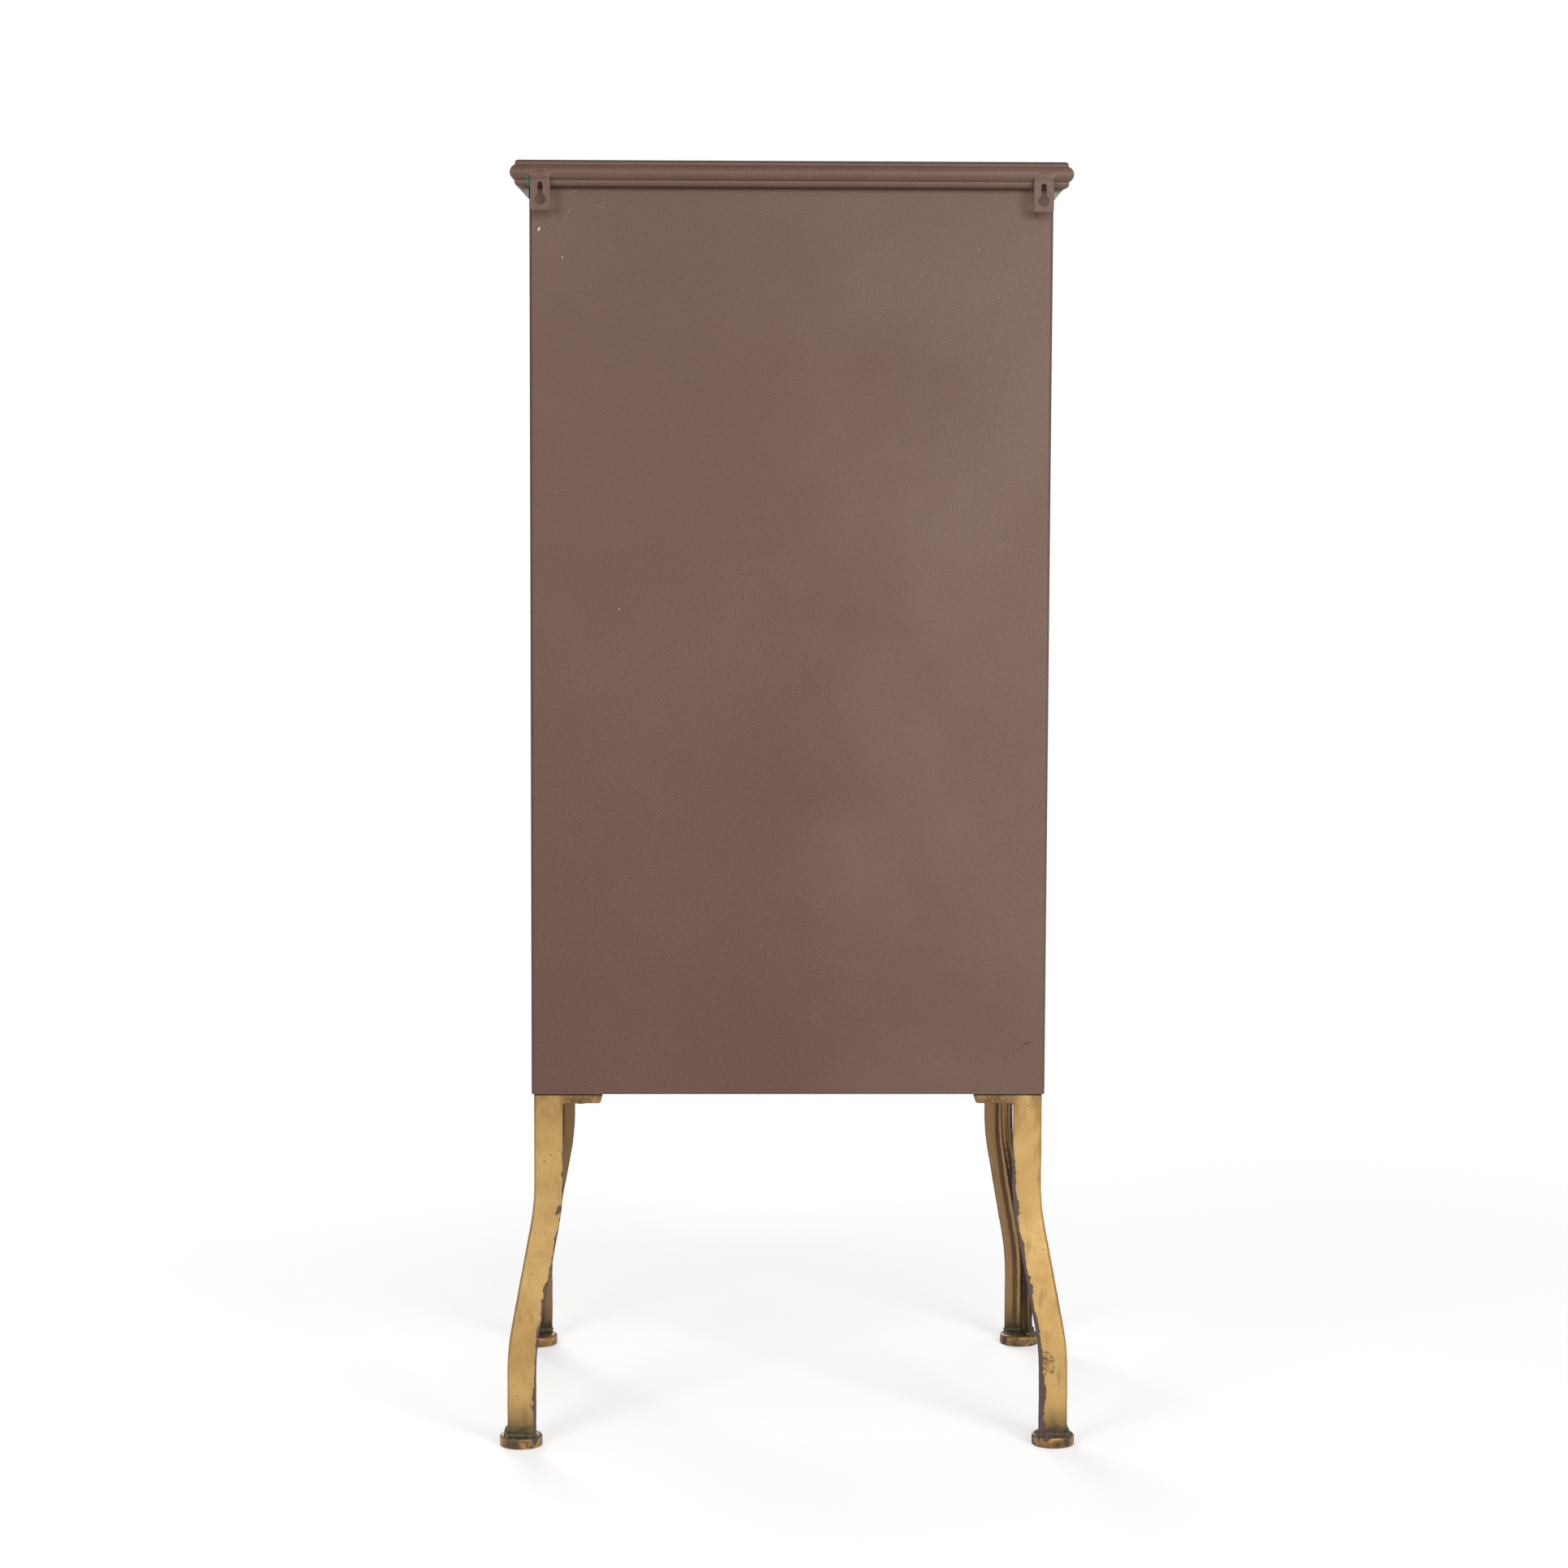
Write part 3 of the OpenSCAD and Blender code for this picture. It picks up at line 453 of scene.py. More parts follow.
# %% Gilt: grime and shade under the case, dark pits
near_top = add(tree, "ShaderNodeMapRange", {"Value": axes.outputs["Z"], "From Min": 0.262,
                                            "From Max": 0.306, "To Min": -0.12, "To Max": 0.10})
streaked = add(tree, "ShaderNodeMath", {0: streaks, 1: near_top}, operation="ADD")
grime = add(tree, "ShaderNodeValToRGB", {"Fac": streaked}, stops=[(0.46, 0.0), (0.74, 0.6)])
grimed = add(tree, "ShaderNodeMix", {FACTOR: grime, COLOUR_A: crusted.outputs[COLOUR],
                                     COLOUR_B: linear("#7c5c34")}, data_type="RGBA")
under_case = add(tree, "ShaderNodeMapRange", {"Value": axes.outputs["Z"], "From Min": 0.3088,
                                              "From Max": 0.3100})
shaded = add(tree, "ShaderNodeMix", {FACTOR: under_case, COLOUR_A: grimed.outputs[COLOUR],
                                     COLOUR_B: linear("#33271b")}, data_type="RGBA")
pits = add(tree, "ShaderNodeTexNoise", {"Vector": where, "Scale": every(2.6), "Detail": 3.0,
                                        "Roughness": 0.6})
pit = add(tree, "ShaderNodeValToRGB", {"Fac": pits}, stops=[(0.67, 0.0), (0.71, 1.0)])
few = add(tree, "ShaderNodeValToRGB", {"Fac": clouds}, stops=[(0.46, 0.0), (0.56, 1.0)])
dark_pit = add(tree, "ShaderNodeMath", {0: pit, 1: few}, operation="MULTIPLY")
pitted = add(tree, "ShaderNodeMix", {FACTOR: dark_pit, COLOUR_A: shaded.outputs[COLOUR],
                                     COLOUR_B: linear("#6b5030")}, data_type="RGBA")
print("gilt with grime and pits, nodes:", len(tree.nodes))

# %% Gilt: a blistered patch on one leg
blistered = patch(tree, where, smudges, (-227.6, 200.0, 75.0), (15, 60, 22), 8)
islands = add(tree, "ShaderNodeValToRGB", {"Fac": smudges}, stops=[(0.43, 0.0), (0.50, 0.85)])
lifted = add(tree, "ShaderNodeMath", {0: blistered, 1: islands}, operation="MULTIPLY")
blister = add(tree, "ShaderNodeValToRGB", {"Fac": tear},
              stops=[(0.40, "#6a4f31"), (0.62, "#d3ab6a"), (0.47, "#a17d4a"), (0.54, "#b9935a")])
spoiled = add(tree, "ShaderNodeMix", {FACTOR: lifted, COLOUR_A: pitted.outputs[COLOUR],
                                      COLOUR_B: blister}, data_type="RGBA")
print("gilt with its blisters, nodes:", len(tree.nodes))

# %% Gilt: flaked to the primer along the inner edges, and where one leg was knocked
widest_flake_mm = 6.5
ragged = add(tree, "ShaderNodeTexNoise", {"Vector": where, "Scale": every(22), "Detail": 5.0,
                                          "Roughness": 0.62})
flake_mm = add(tree, "ShaderNodeValToRGB", {"Fac": ragged},
               stops=[(0.40, 0.0), (0.72, 0.80), (0.50, 0.10), (0.60, 0.40)])
at_foot = add(tree, "ShaderNodeMapRange", {"Value": axes.outputs["Z"], "From Min": 0.02,
                                           "From Max": 0.12, "To Min": 0.3, "To Max": 0.0})
one_side = add(tree, "ShaderNodeMapRange", {"Value": axes.outputs["X"], "From Min": 0.0,
                                            "From Max": -0.1, "To Min": 0.03, "To Max": 0.34})
below_arm = add(tree, "ShaderNodeMapRange", {"Value": axes.outputs["Z"], "From Min": 0.275,
                                             "From Max": 0.235})
flake_share = add(tree, "ShaderNodeMath", {0: flake_mm, 1: at_foot}, operation="ADD")
side_share = add(tree, "ShaderNodeMath", {0: flake_share, 1: one_side}, operation="ADD")
leg_share = add(tree, "ShaderNodeMath", {0: side_share, 1: below_arm}, operation="MULTIPLY")
outer_share = add(tree, "ShaderNodeMath", {0: leg_share, 1: facing}, operation="MULTIPLY")
flake_edge = add(tree, "ShaderNodeMath", {0: outer_share, 1: widest_flake_mm}, operation="MULTIPLY")
gone = add(tree, "ShaderNodeMath", {0: flake_edge, 1: from_edge.outputs["Fac"]},
           operation="SUBTRACT")
edge_flake = add(tree, "ShaderNodeValToRGB", {"Fac": gone}, stops=[(0.0, 0.0), (0.15, 1.0)])
knocked = patch(tree, where, tear, (200.8, 200.0, 208.0), (14, 60, 8), 48)
flaked = add(tree, "ShaderNodeMath", {0: edge_flake, 1: knocked}, operation="MAXIMUM")
shown = add(tree, "ShaderNodeMix", {FACTOR: flaked, COLOUR_A: spoiled.outputs[COLOUR],
                                    COLOUR_B: linear("#624d47")}, data_type="RGBA")
tree.links.new(shown.outputs[COLOUR], skin.inputs["Base Color"])

# %% Gilt: metallic where it holds, and a small step down where it is gone
metal = add(tree, "ShaderNodeMapRange", {"Value": flaked, "To Min": 0.5, "To Max": 0.0})
tree.links.new(metal.outputs["Result"], skin.inputs["Metallic"])
rough = add(tree, "ShaderNodeMapRange", {"Value": flaked, "To Min": 0.45, "To Max": 0.62})
tree.links.new(rough.outputs["Result"], skin.inputs["Roughness"])
skin_bump = add(tree, "ShaderNodeBump", {"Height": powder, "Strength": 0.35, "Distance": 0.12 * MM})
chip_step = add(tree, "ShaderNodeBump", {"Height": flaked, "Normal": skin_bump, "Strength": 0.6,
                                         "Distance": -0.12 * MM})
tree.links.new(chip_step.outputs["Normal"], skin.inputs["Normal"])
print("gilt nodes:", len(tree.nodes))

# %% [markdown]
# ## Old bronze on the feet
#
# The round feet and the weld above them took the same gilding, but the floor and a wash of
# green have worn it: brown bronze, copper-orange where the rim is rubbed, bare primer in
# patches, and grey-green in the hollows round the weld. The rim is also painted brighter
# towards its upper edge, as a painted highlight. The weld has more of the green, so one
# function makes both finishes.

# %% Worn bronze with green in its hollows
def worn_bronze(name, green_share):
    """The feet's finish; green_share raises how much of it is verdigris."""
    made, tree, skin, where = start(name, IOR=1.5)
    height = add(tree, "ShaderNodeSeparateXYZ", {0: where})
    # Painted highlight: the rim is painted brighter towards its upper edge
    painted_highlight_at_rim = add(tree, "ShaderNodeMapRange", {"Value": height.outputs["Z"], "From Min": 0.005,
                                              "From Max": 0.009, "To Min": 0.0, "To Max": 0.08})
    wear = add(tree, "ShaderNodeTexNoise", {"Vector": where, "Scale": every(16), "Detail": 4.0,
                                            "Roughness": 0.55})
    rubbed = add(tree, "ShaderNodeMath", {0: wear, 1: painted_highlight_at_rim}, operation="ADD")
    bronze = add(tree, "ShaderNodeValToRGB", {"Fac": rubbed},
                 stops=[(0.38, "#4f4331"), (0.68, "#d09b59"), (0.49, "#86693f"), (0.57, "#ab8450")])
    crust = add(tree, "ShaderNodeMapRange", {"Value": height.outputs["Z"], "From Min": 0.0086,
                                             "From Max": 0.0102, "To Min": 0.0, "To Max": 0.8})
    crusted = add(tree, "ShaderNodeMix", {FACTOR: crust, COLOUR_A: bronze,
                                          COLOUR_B: linear("#48422f")}, data_type="RGBA")
    green_noise = add(tree, "ShaderNodeTexNoise", {"Vector": where, "Scale": every(7),
                                                   "Detail": 5.0})
    green_mask = add(tree, "ShaderNodeValToRGB", {"Fac": green_noise},
                     stops=[(0.60 - green_share, 0.0), (0.72 - green_share, 1.0)])
    tinted = add(tree, "ShaderNodeMix", {FACTOR: green_mask, COLOUR_A: crusted.outputs[COLOUR],
                                         COLOUR_B: linear("#565b45")}, data_type="RGBA")
    chips = add(tree, "ShaderNodeTexNoise", {"Vector": where, "Scale": every(14), "Detail": 3.0,
                                             "W": 3.0}, noise_dimensions="4D")
    chip = add(tree, "ShaderNodeValToRGB", {"Fac": chips}, stops=[(0.60, 0.0), (0.62, 1.0)])
    chipped = add(tree, "ShaderNodeMix", {FACTOR: chip, COLOUR_A: tinted.outputs[COLOUR],
                                          COLOUR_B: linear("#62504a")}, data_type="RGBA")
    tree.links.new(chipped.outputs[COLOUR], skin.inputs["Base Color"])
    dull = add(tree, "ShaderNodeMath", {0: green_mask, 1: chip}, operation="MAXIMUM")
    metal = add(tree, "ShaderNodeMapRange", {"Value": dull, "To Min": 0.45, "To Max": 0.0})
    tree.links.new(metal.outputs["Result"], skin.inputs["Metallic"])
    rough = add(tree, "ShaderNodeMapRange", {"Value": dull, "To Min": 0.38, "To Max": 0.85})
    tree.links.new(rough.outputs["Result"], skin.inputs["Roughness"])
    lumps = add(tree, "ShaderNodeBump", {"Height": wear, "Strength": 0.5, "Distance": 0.5 * MM})
    tree.links.new(lumps.outputs["Normal"], skin.inputs["Normal"])
    print(name, "nodes:", len(tree.nodes))
    return made


foot_bronze = worn_bronze("worn_bronze_foot", 0.0)
weld_bronze = worn_bronze("verdigris_weld", 0.15)

# %% [markdown]
# ## The metals and the drawer's inside
#
# The cup pulls are cast brass gone brown in the hollows, and their screws are brass too.
# The mould's sand leaves a grain too fine to show, so it is drawn 1.5 mm wide. Runners are
# zinc-plated steel, whose crystals give a faint blotched sheen. The leg bolts were brushed
# over with a thin brown coat of the gilding. The trays are sprayed with the same primer as
# the back, thinner and duller.

# %% Aged cast brass
brass, tree, skin, where = start("aged_cast_brass", Metallic=1.0)
stain = add(tree, "ShaderNodeTexNoise", {"Vector": where, "Scale": every(14), "Detail": 5.0,
                                         "Roughness": 0.6})
tarnish = add(tree, "ShaderNodeValToRGB", {"Fac": stain},
              stops=[(0.35, "#5a4224"), (0.68, "#cfa458"), (0.5, "#a17c3d")])
tree.links.new(tarnish.outputs["Color"], skin.inputs["Base Color"])
dull = add(tree, "ShaderNodeMapRange", {"Value": stain, "From Min": 0.35, "From Max": 0.65,
                                        "To Min": 0.52, "To Max": 0.28})
tree.links.new(dull.outputs["Result"], skin.inputs["Roughness"])
sand = add(tree, "ShaderNodeTexNoise", {"Vector": where, "Scale": every(1.5), "Detail": 2.0})
cast = add(tree, "ShaderNodeBump", {"Height": sand, "Strength": 0.3, "Distance": 0.06 * MM})
tree.links.new(cast.outputs["Normal"], skin.inputs["Normal"])
print("brass nodes:", len(tree.nodes))

# %% Zinc plate
zinc, tree, skin, where = start("zinc_plated_steel", Metallic=1.0)
crystals = add(tree, "ShaderNodeTexVoronoi", {"Vector": where, "Scale": every(7)})
plate = add(tree, "ShaderNodeValToRGB", {"Fac": crystals.outputs["Color"]},
            stops=[(0.0, "#8f9596"), (1.0, "#b4b9b8")])
tree.links.new(plate.outputs["Color"], skin.inputs["Base Color"])
sheen = add(tree, "ShaderNodeMapRange", {"Value": crystals.outputs["Color"], "To Min": 0.3,
                                         "To Max": 0.45})
tree.links.new(sheen.outputs["Result"], skin.inputs["Roughness"])
print("zinc nodes:", len(tree.nodes))

# %% Bolts brushed over
brushed_bolt, tree, skin, where = start("bolt_brushed_with_gilt", IOR=1.5, Metallic=0.3)
smear = add(tree, "ShaderNodeTexNoise", {"Vector": where, "Scale": every(5), "Detail": 4.0})
coat = add(tree, "ShaderNodeValToRGB", {"Fac": smear}, stops=[(0.35, "#4d3a27"), (0.65, "#8a6b45")])
tree.links.new(coat.outputs["Color"], skin.inputs["Base Color"])
dry = add(tree, "ShaderNodeMapRange", {"Value": smear, "To Min": 0.45, "To Max": 0.65})
tree.links.new(dry.outputs["Result"], skin.inputs["Roughness"])
print("bolt nodes:", len(tree.nodes))

# %% Thin primer inside the drawers
inside_coat, tree, skin, where = start("thin_primer_spray", IOR=1.5)
spray = add(tree, "ShaderNodeTexNoise", {"Vector": where, "Scale": every(90), "Detail": 5.0,
                                         "Roughness": 0.6})
coat = add(tree, "ShaderNodeValToRGB", {"Fac": spray}, stops=[(0.35, "#4f3c33"), (0.66, "#6b5347")])
tree.links.new(coat.outputs["Color"], skin.inputs["Base Color"])
dry = add(tree, "ShaderNodeMapRange", {"Value": spray, "To Min": 0.5, "To Max": 0.7})
tree.links.new(dry.outputs["Result"], skin.inputs["Roughness"])
mist = add(tree, "ShaderNodeTexNoise", {"Vector": where, "Scale": every(1.6)})
misted = add(tree, "ShaderNodeBump", {"Height": mist, "Strength": 0.3, "Distance": 0.05 * MM})
tree.links.new(misted.outputs["Normal"], skin.inputs["Normal"])
print("tray primer nodes:", len(tree.nodes))

# %% [markdown]
# ## Dressing the exact solids
#
# Each solid of the frame has a slot, which says what it is made of or painted with. The slot
# picks the finish, and the solid's shape isn't touched. The legs, feet and hangers are
# dressed here as well, although rougher pieces take their places further down.

# %% Dress the frame's own solids
def dress(piece, finish):
    """Gives a piece one finish and nothing else."""
    piece.data.materials.clear()
    piece.data.materials.append(finish)


finish_of = {"back_paint": primer, "body_paint": verdigris, "leg_paint": gilt,
             "foot_metal": foot_bronze, "tray_paint": inside_coat, "pull_brass": brass,
             "runner_steel": zinc, "fixing_steel": brushed_bolt}
for part in frame["record"]["subparts"]:
    dress(frame["nodes"][part["node"]], finish_of[part["material_slot"]])

# %% [markdown]
# ## The four castings
#
# A sand casting is never as crisp as the drawing it was poured from: its corners are soft,
# its faces wander by a few tenths of a millimetre, and a nub is left where a gate was broken
# off. The frame already holds the exact leg, so one leg is copied from it, its loose
# triangles are merged, and it is rebuilt in small even faces (a voxel remesh) that can be
# smoothed. The other three are mirrored copies, and each gets its own slight unevenness.

# %% Helpers for pieces
def alone(piece):
    """Makes a piece the only selected one, so that an operator acts on nothing else."""
    bpy.ops.object.select_all(action="DESELECT")
    piece.select_set(True)
    bpy.context.view_layer.objects.active = piece


def new_piece(name, mesh):
    piece = bpy.data.objects.new(name, mesh)
    bpy.context.scene.collection.objects.link(piece)
    alone(piece)
    return piece


def merged_copy(node, name):
    """A piece of its own from one of the frame's solids, with its loose triangles joined."""
    piece = new_piece(name, frame["nodes"][node].data.copy())
    bpy.ops.object.mode_set(mode="EDIT")
    bpy.ops.mesh.select_all(action="SELECT")
    bpy.ops.mesh.remove_doubles(threshold=0.01 * MM)
    bpy.ops.object.mode_set(mode="OBJECT")
    bpy.ops.mesh.customdata_custom_splitnormals_clear()
    return piece


def apply(piece, kind, **settings):
    """Adds one modifier to a piece and applies it at once."""
    alone(piece)
    modifier = piece.modifiers.new(kind.lower(), kind)
    for name, value in settings.items():
        setattr(modifier, name, value)
    bpy.ops.object.modifier_apply(modifier=modifier.name)


def remesh(piece, mm):
    """Rebuilds a piece in small even faces, so many millimetres wide."""
    apply(piece, "REMESH", mode="VOXEL", voxel_size=mm * MM, use_smooth_shade=True)


def joined(pieces):
    """Joins all the pieces into the first one."""
    bpy.ops.object.select_all(action="DESELECT")
    for piece in pieces:
        piece.select_set(True)
    bpy.context.view_layer.objects.active = pieces[0]
    bpy.ops.object.join()
    return pieces[0]


def unevenness(name, mm):
    """A cloud texture whose lumps are so many millimetres across."""
    clouds = bpy.data.textures.new(name, "CLOUDS")
    clouds.noise_scale = mm * MM
    return clouds


def mirrored(source, name, x_sign, y_sign):
    """A mirrored copy, with its faces turned outwards again."""
    piece = new_piece(name, source.data.copy())
    bpy.ops.object.mode_set(mode="EDIT")
    bpy.ops.mesh.select_all(action="SELECT")
    bpy.ops.transform.resize(value=(x_sign, y_sign, 1), center_override=(0, 0, 0))
    bpy.ops.mesh.normals_make_consistent(inside=False)
    bpy.ops.object.mode_set(mode="OBJECT")
    return piece


# %% One leg, and its gate nub
leg = merged_copy("leg_back_right", "leg_casting_back_right")
nub_radius, nub_place = 2.6 * MM, Vector((-200.4, 170.0, 258.0)) * MM
bpy.ops.object.select_all(action="DESELECT")
bpy.ops.mesh.primitive_ico_sphere_add(subdivisions=2, radius=nub_radius, location=nub_place)
joined([leg, bpy.context.object])
remesh(leg, 1.0)
apply(leg, "SMOOTH", factor=0.5, iterations=3)
print("faces of one leg:", len(leg.data.polygons))

# %% Four legs
sand_waves = unevenness("sand_mould_waves", 14)
other_corners = (("back_left", -1, 1), ("front_right", 1, -1), ("front_left", -1, -1))
legs = {"leg_back_right": leg}
for corner, x_sign, y_sign in other_corners:
    legs["leg_" + corner] = mirrored(leg, "leg_casting_" + corner, x_sign, y_sign)
for node, casting in legs.items():
    apply(casting, "DISPLACE", texture=sand_waves, texture_coords="LOCAL", strength=0.45 * MM,
          mid_level=0.5)
    dress(casting, gilt)
    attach(casting, "cabinet")
    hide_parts(node)
print("legs:", len(legs))

# %% [markdown]
# ## Distances for the gilding
#
# The gilding needs four numbers at each point. How far the legs splay at a height is read
# from the frame's own leg: its outermost vertex at each level gives the outer faces. A
# point's two distances from these faces then say where on the flange or the arm it lies.

# %% Distances for the gilding
def points_of(mesh, what="co"):
    flat = np.empty(3 * len(mesh.vertices))
    mesh.vertices.foreach_get(what, flat)
    return flat.reshape(-1, 3)


exact = np.abs(points_of(frame["nodes"]["leg_back_left"].data)) / MM
levels, same_level = np.unique(exact[:, 2].round(2)), 0.02
outer = np.array([exact[np.abs(exact[:, 2] - level) < same_level][:, :2].max(0)
                  for level in levels])
arm_mm, arm_thick, never_zero = 60.5, 8.8, 0.002
arm_under = exact[:, 2].max() - arm_thick
for casting in legs.values():
    place = np.abs(points_of(casting.data)) / MM
    side = np.sign(points_of(casting.data)[:, :2].mean(0))
    faces = np.column_stack([np.interp(place[:, 2], levels, outer[:, k]) for k in (0, 1)])
    inset = faces - place[:, :2]
    reach = inset.max(1)
    length = np.where(place[:, 2] > arm_under, arm_mm, flange_mm)
    normal = points_of(casting.data, "normal")[:, :2]
    looks = (normal * side).max(1)
    turned = np.abs(normal) + never_zero
    along_face = (inset * turned[:, ::-1]).sum(1) / turned.sum(1)
    # The arm's dull gilding begins softly, over a few millimetres outwards and upwards
    out_on_arm = np.interp(reach, (flange_mm - 4, flange_mm + 6), (0, 1)) * np.interp(
        place[:, 2], (arm_under - 6, arm_under + 2), (0.3, 1))
    for name, values in (("mm_from_edge", length - reach), ("mm_across", length - along_face),
                         ("outward", looks), ("on_arm", out_on_arm)):
        layer = casting.data.attributes.new(name, "FLOAT", "POINT")
        layer.data.foreach_set("value", values.astype(np.float32))
    print(casting.name, "edge distances", (length - reach).min().round(1),
          (length - reach).max().round(1))

# %% [markdown]
# ## The feet and their welds
#
# Each foot is a disc cut from bar, filed round by hand, so its rim is a little uneven. It is
# modelled from a cylinder: both rims are bevelled, a voxel remesh makes its faces small and
# even, and a cloud texture pushes the surface inwards by less than a millimetre. Pushing
# only inwards keeps the foot within its measured size, and a band at the bottom is left
# alone so that it stands flat. The weld round the leg is a row of blobs laid along the
# outline of the leg's section and melted together by another voxel remesh.

# %% One foot disc
foot_low, foot_high = (Vector(corner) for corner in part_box("foot_back_right"))
foot_middle = (foot_low + foot_high) / 2
foot_radius, foot_thick = (foot_high.x - foot_low.x) / 2, foot_high.z - foot_low.z
rim_bevel = 2.6 * MM
bpy.ops.object.select_all(action="DESELECT")
bpy.ops.mesh.primitive_cylinder_add(vertices=72, radius=foot_radius, depth=foot_thick,
                                    location=foot_middle)
foot = bpy.context.object
foot.name = "foot_disc_back_right"
bpy.ops.object.transform_apply(location=True)
bpy.ops.object.mode_set(mode="EDIT")
bpy.ops.mesh.select_all(action="DESELECT")
bpy.ops.object.mode_set(mode="OBJECT")
# The rims' edges lie level, and the wall's stand upright
for edge in foot.data.edges:
    ends = [foot.data.vertices[k].co.z for k in edge.vertices]
    edge.select = abs(ends[0] - ends[1]) < 0.1 * MM
bpy.ops.object.mode_set(mode="EDIT")
bpy.ops.mesh.select_mode(type="EDGE")
bpy.ops.mesh.bevel(offset=rim_bevel, segments=5)
bpy.ops.object.mode_set(mode="OBJECT")
remesh(foot, 0.8)
apply(foot, "SMOOTH", factor=0.5, iterations=2)
print("foot disc, mm across:", round(2 * foot_radius / MM, 1), "thick:", round(foot_thick / MM, 1))

# %% The weld round one leg
# In millimetres: two rows of blobs along each flange, one outside and one inside the L
blob_step, blob_radii, end_swell, jitter, blob_rise = 2.6, (1.7, 3.1), 1.25, 0.7, 0.7
inner_row, inner_start = 4.0, 6.0
heel = outer[0]
steps = np.arange(0.0, flange_mm, blob_step)
bead_sizes = np.random.default_rng(7)
blobs = []
for along in steps:
    swell = end_swell if along in (steps[0], steps[-1]) else 1.0
    inner = max(along, inner_start)
    for inward in ((along, 0.0), (0.0, along), (inner, inner_row), (inner_row, inner)):
        radius = bead_sizes.uniform(*blob_radii) * swell
        spot_x, spot_y = heel - np.array(inward) + bead_sizes.uniform(-jitter, jitter, 2)
        bpy.ops.object.select_all(action="DESELECT")
        bpy.ops.mesh.primitive_ico_sphere_add(
            subdivisions=2, radius=radius * MM, scale=(1, 1, 1.1),
            location=(-spot_x * MM, spot_y * MM, foot_high.z + blob_rise * MM))
        blobs.append(bpy.context.object)
weld = joined(blobs)
weld.name = "foot_weld_back_right"
bpy.ops.object.transform_apply(location=True, rotation=True, scale=True)
remesh(weld, 0.6)
apply(weld, "SMOOTH", factor=0.5, iterations=3)
print("faces of one weld:", len(weld.data.polygons), "from blobs:", len(blobs))

# %% Four feet
filed_rim = unevenness("hand_filed_rim", 14)
weld_ripples = unevenness("weld_ripples", 2.5)
flat_band = 1.2 * MM
feet = {"back_right": (foot, weld)}
for corner, x_sign, y_sign in other_corners:
    feet[corner] = (mirrored(foot, "foot_disc_" + corner, x_sign, y_sign),
                    mirrored(weld, "foot_weld_" + corner, x_sign, y_sign))
for node, (disc, bead) in feet.items():
    raised = disc.vertex_groups.new(name="above_floor")
    raised.add([v.index for v in disc.data.vertices if v.co.z > foot_low.z + flat_band],
               1.0, "REPLACE")
    apply(disc, "DISPLACE", texture=filed_rim, texture_coords="LOCAL", strength=0.9 * MM,
          mid_level=1.0, vertex_group="above_floor")
    apply(bead, "DISPLACE", texture=weld_ripples, texture_coords="LOCAL", strength=1.8 * MM,
          mid_level=0.5)
    for piece, finish in ((disc, foot_bronze), (bead, weld_bronze)):
        dress(piece, finish)
        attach(piece, "cabinet")
    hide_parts("foot_" + node)
print("feet:", len(feet))

# %% [markdown]
# ## The keyhole hangers and the filled seam
#
# Two keyhole plates were sawn from strip, hammered in at the top and welded onto the crown's
# moulding, then the weld was filled and sprayed with the back. Each is a copy of the exact
# plate. Its top eight millimetres lean into the moulding, and a flat mound of filler tapers
# them off. The remesh is fine, under half a millimetre, so that the keyhole stays crisp, and
# the smoothing rounds the sawn corners just enough to catch the light. The same filler
# closes the seam between the top plate and the back moulding.

# %% Hangers with their filled welds
hammered = unevenness("hammered_filler", 3)
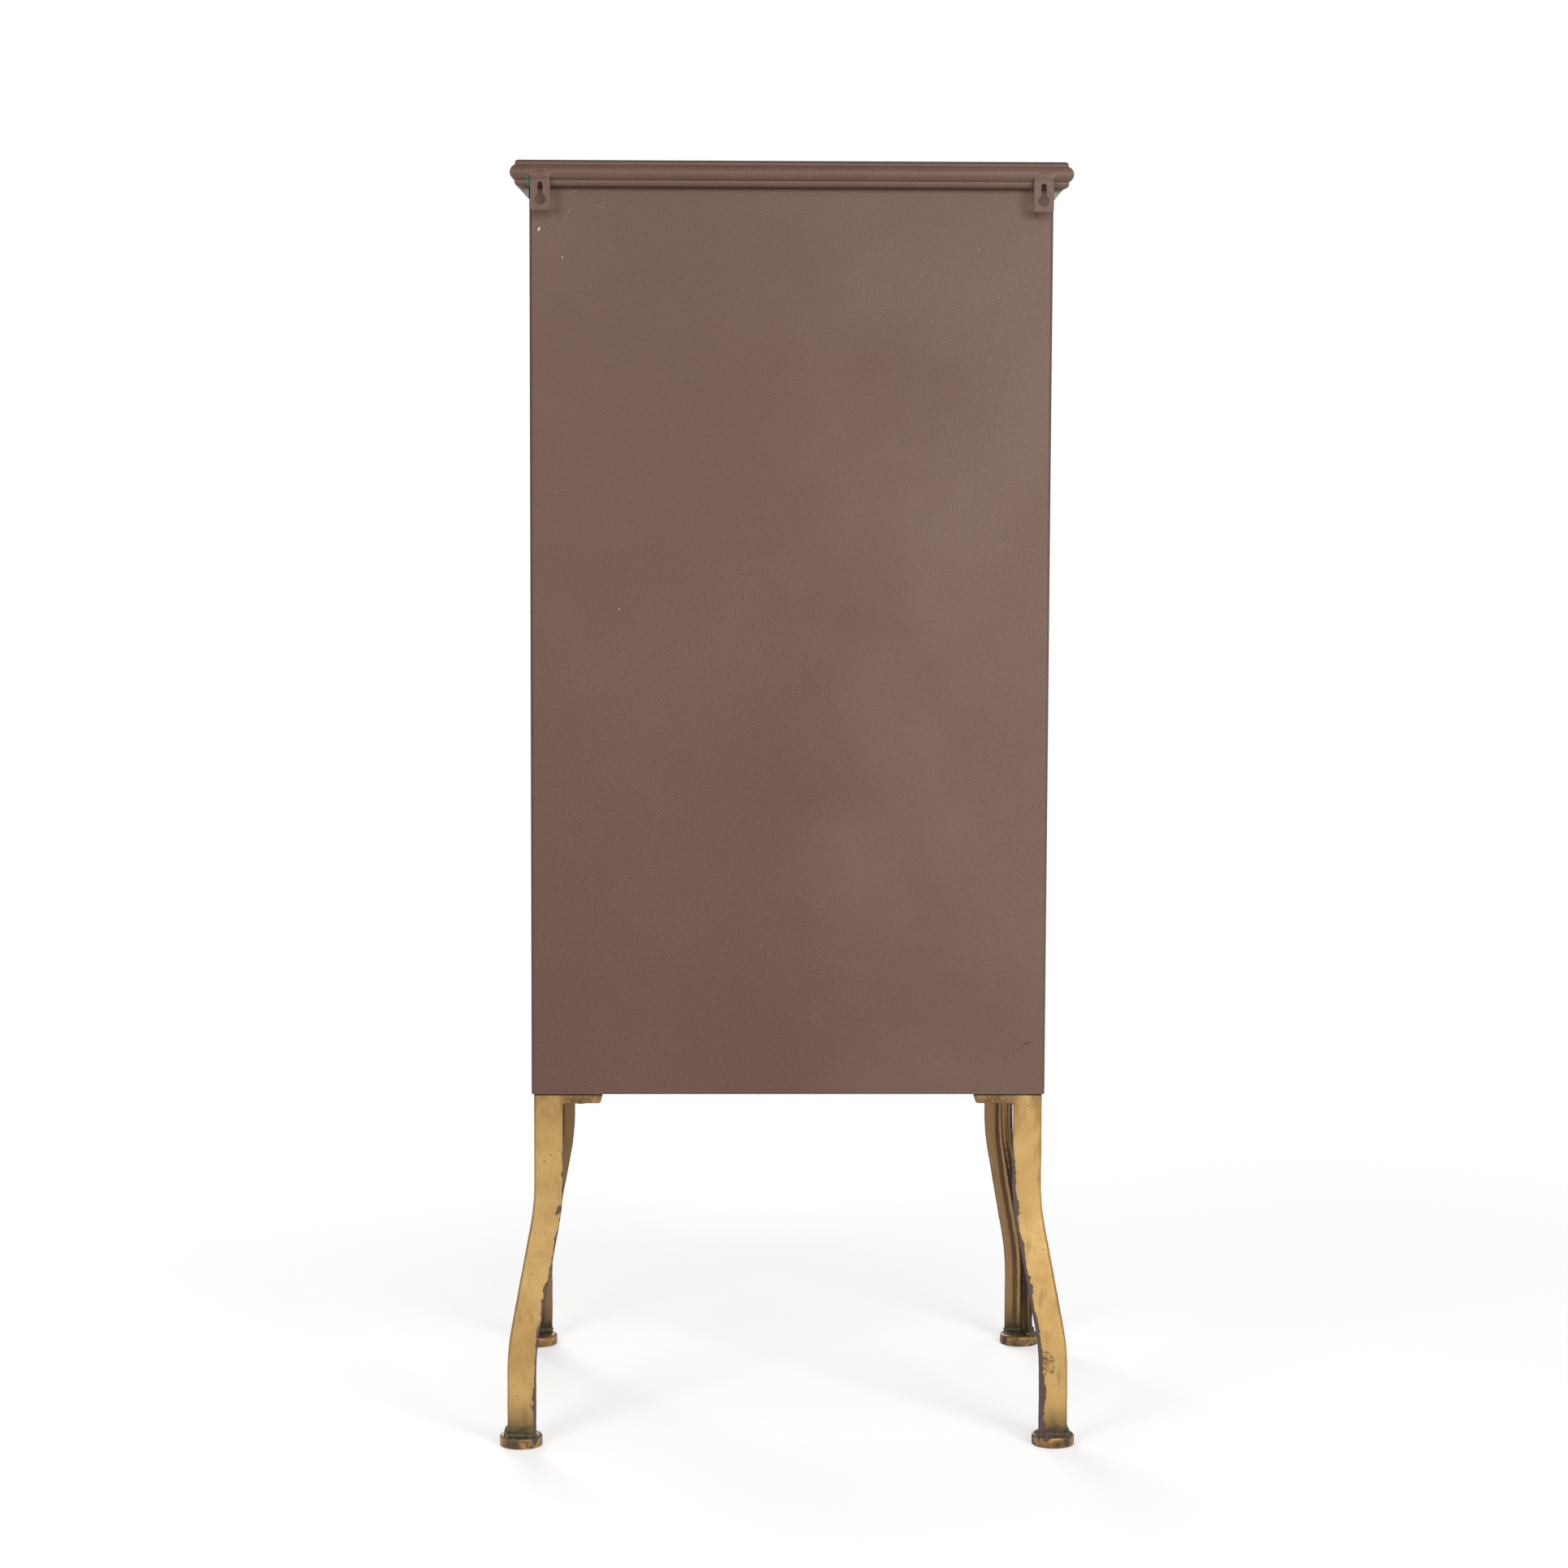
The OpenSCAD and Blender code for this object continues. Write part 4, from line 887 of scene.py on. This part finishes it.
# In millimetres: the leaning top, the mound's half sizes and place, how far the filler goes
leaning, leans_by = 8, 2.3
mound_half_deep, mound_half_tall, mound_in, mound_down = 2.3, 3.8, 3.6, 1.2
filled_down_to = 7
for side in ("right", "left"):
    plate = merged_copy("hanger_" + side, "hanger_plate_" + side)
    low, high = (Vector(corner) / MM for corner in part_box("hanger_" + side))
    remesh(plate, 0.4)
    for vertex in plate.data.vertices:
        share = min(max((vertex.co.z / MM - high.z + leaning) / leaning, 0), 1)
        vertex.co.y -= leans_by * MM * share * share * (3 - 2 * share)
    bpy.ops.object.select_all(action="DESELECT")
    bpy.ops.mesh.primitive_ico_sphere_add(
        subdivisions=5, radius=1 * MM,
        scale=((high.x - low.x) / 2, mound_half_deep, mound_half_tall),
        location=Vector(((low.x + high.x) / 2, high.y - mound_in, high.z - mound_down)) * MM)
    joined([plate, bpy.context.object])
    remesh(plate, 0.4)
    welded = plate.vertex_groups.new(name="welded_top")
    welded.add([v.index for v in plate.data.vertices if v.co.z / MM > high.z - filled_down_to],
               1.0, "REPLACE")
    apply(plate, "DISPLACE", texture=hammered, texture_coords="LOCAL", strength=0.9 * MM,
          mid_level=0.5, vertex_group="welded_top")
    apply(plate, "SMOOTH", factor=0.5, iterations=6, vertex_group="welded_top")
    apply(plate, "SMOOTH", factor=0.5, iterations=4)
    dress(plate, primer)
    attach(plate, "cabinet")
    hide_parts("hanger_" + side)
    print(plate.name, "faces:", len(plate.data.polygons))

# %% Filler in the seam under the top plate
seam_radius, seam_sunk, seam_short = 0.9 * MM, 0.3 * MM, 2 * MM
top_low, top_high = (Vector(corner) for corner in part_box("top_plate"))
bpy.ops.object.select_all(action="DESELECT")
bpy.ops.mesh.primitive_cylinder_add(vertices=16, radius=seam_radius,
                                    depth=top_high.x - top_low.x - seam_short,
                                    rotation=(0, math.radians(90), 0),
                                    location=(0, top_high.y - seam_sunk, top_low.z - seam_sunk))
seam = bpy.context.object
seam.name = "seam_filler_back"
bpy.ops.object.transform_apply(location=True, rotation=True)
remesh(seam, 0.45)
apply(seam, "DISPLACE", texture=unevenness("wiped_filler", 6), texture_coords="LOCAL",
      strength=0.5 * MM, mid_level=0.6)
dress(seam, primer)
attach(seam, "cabinet")
print("seam filler faces:", len(seam.data.polygons))

# %% [markdown]
# ## View
#
# The Standard view shows each colour as it was picked, with no film-like curve over it.

# %% View
bpy.context.scene.view_settings.view_transform = "Standard"
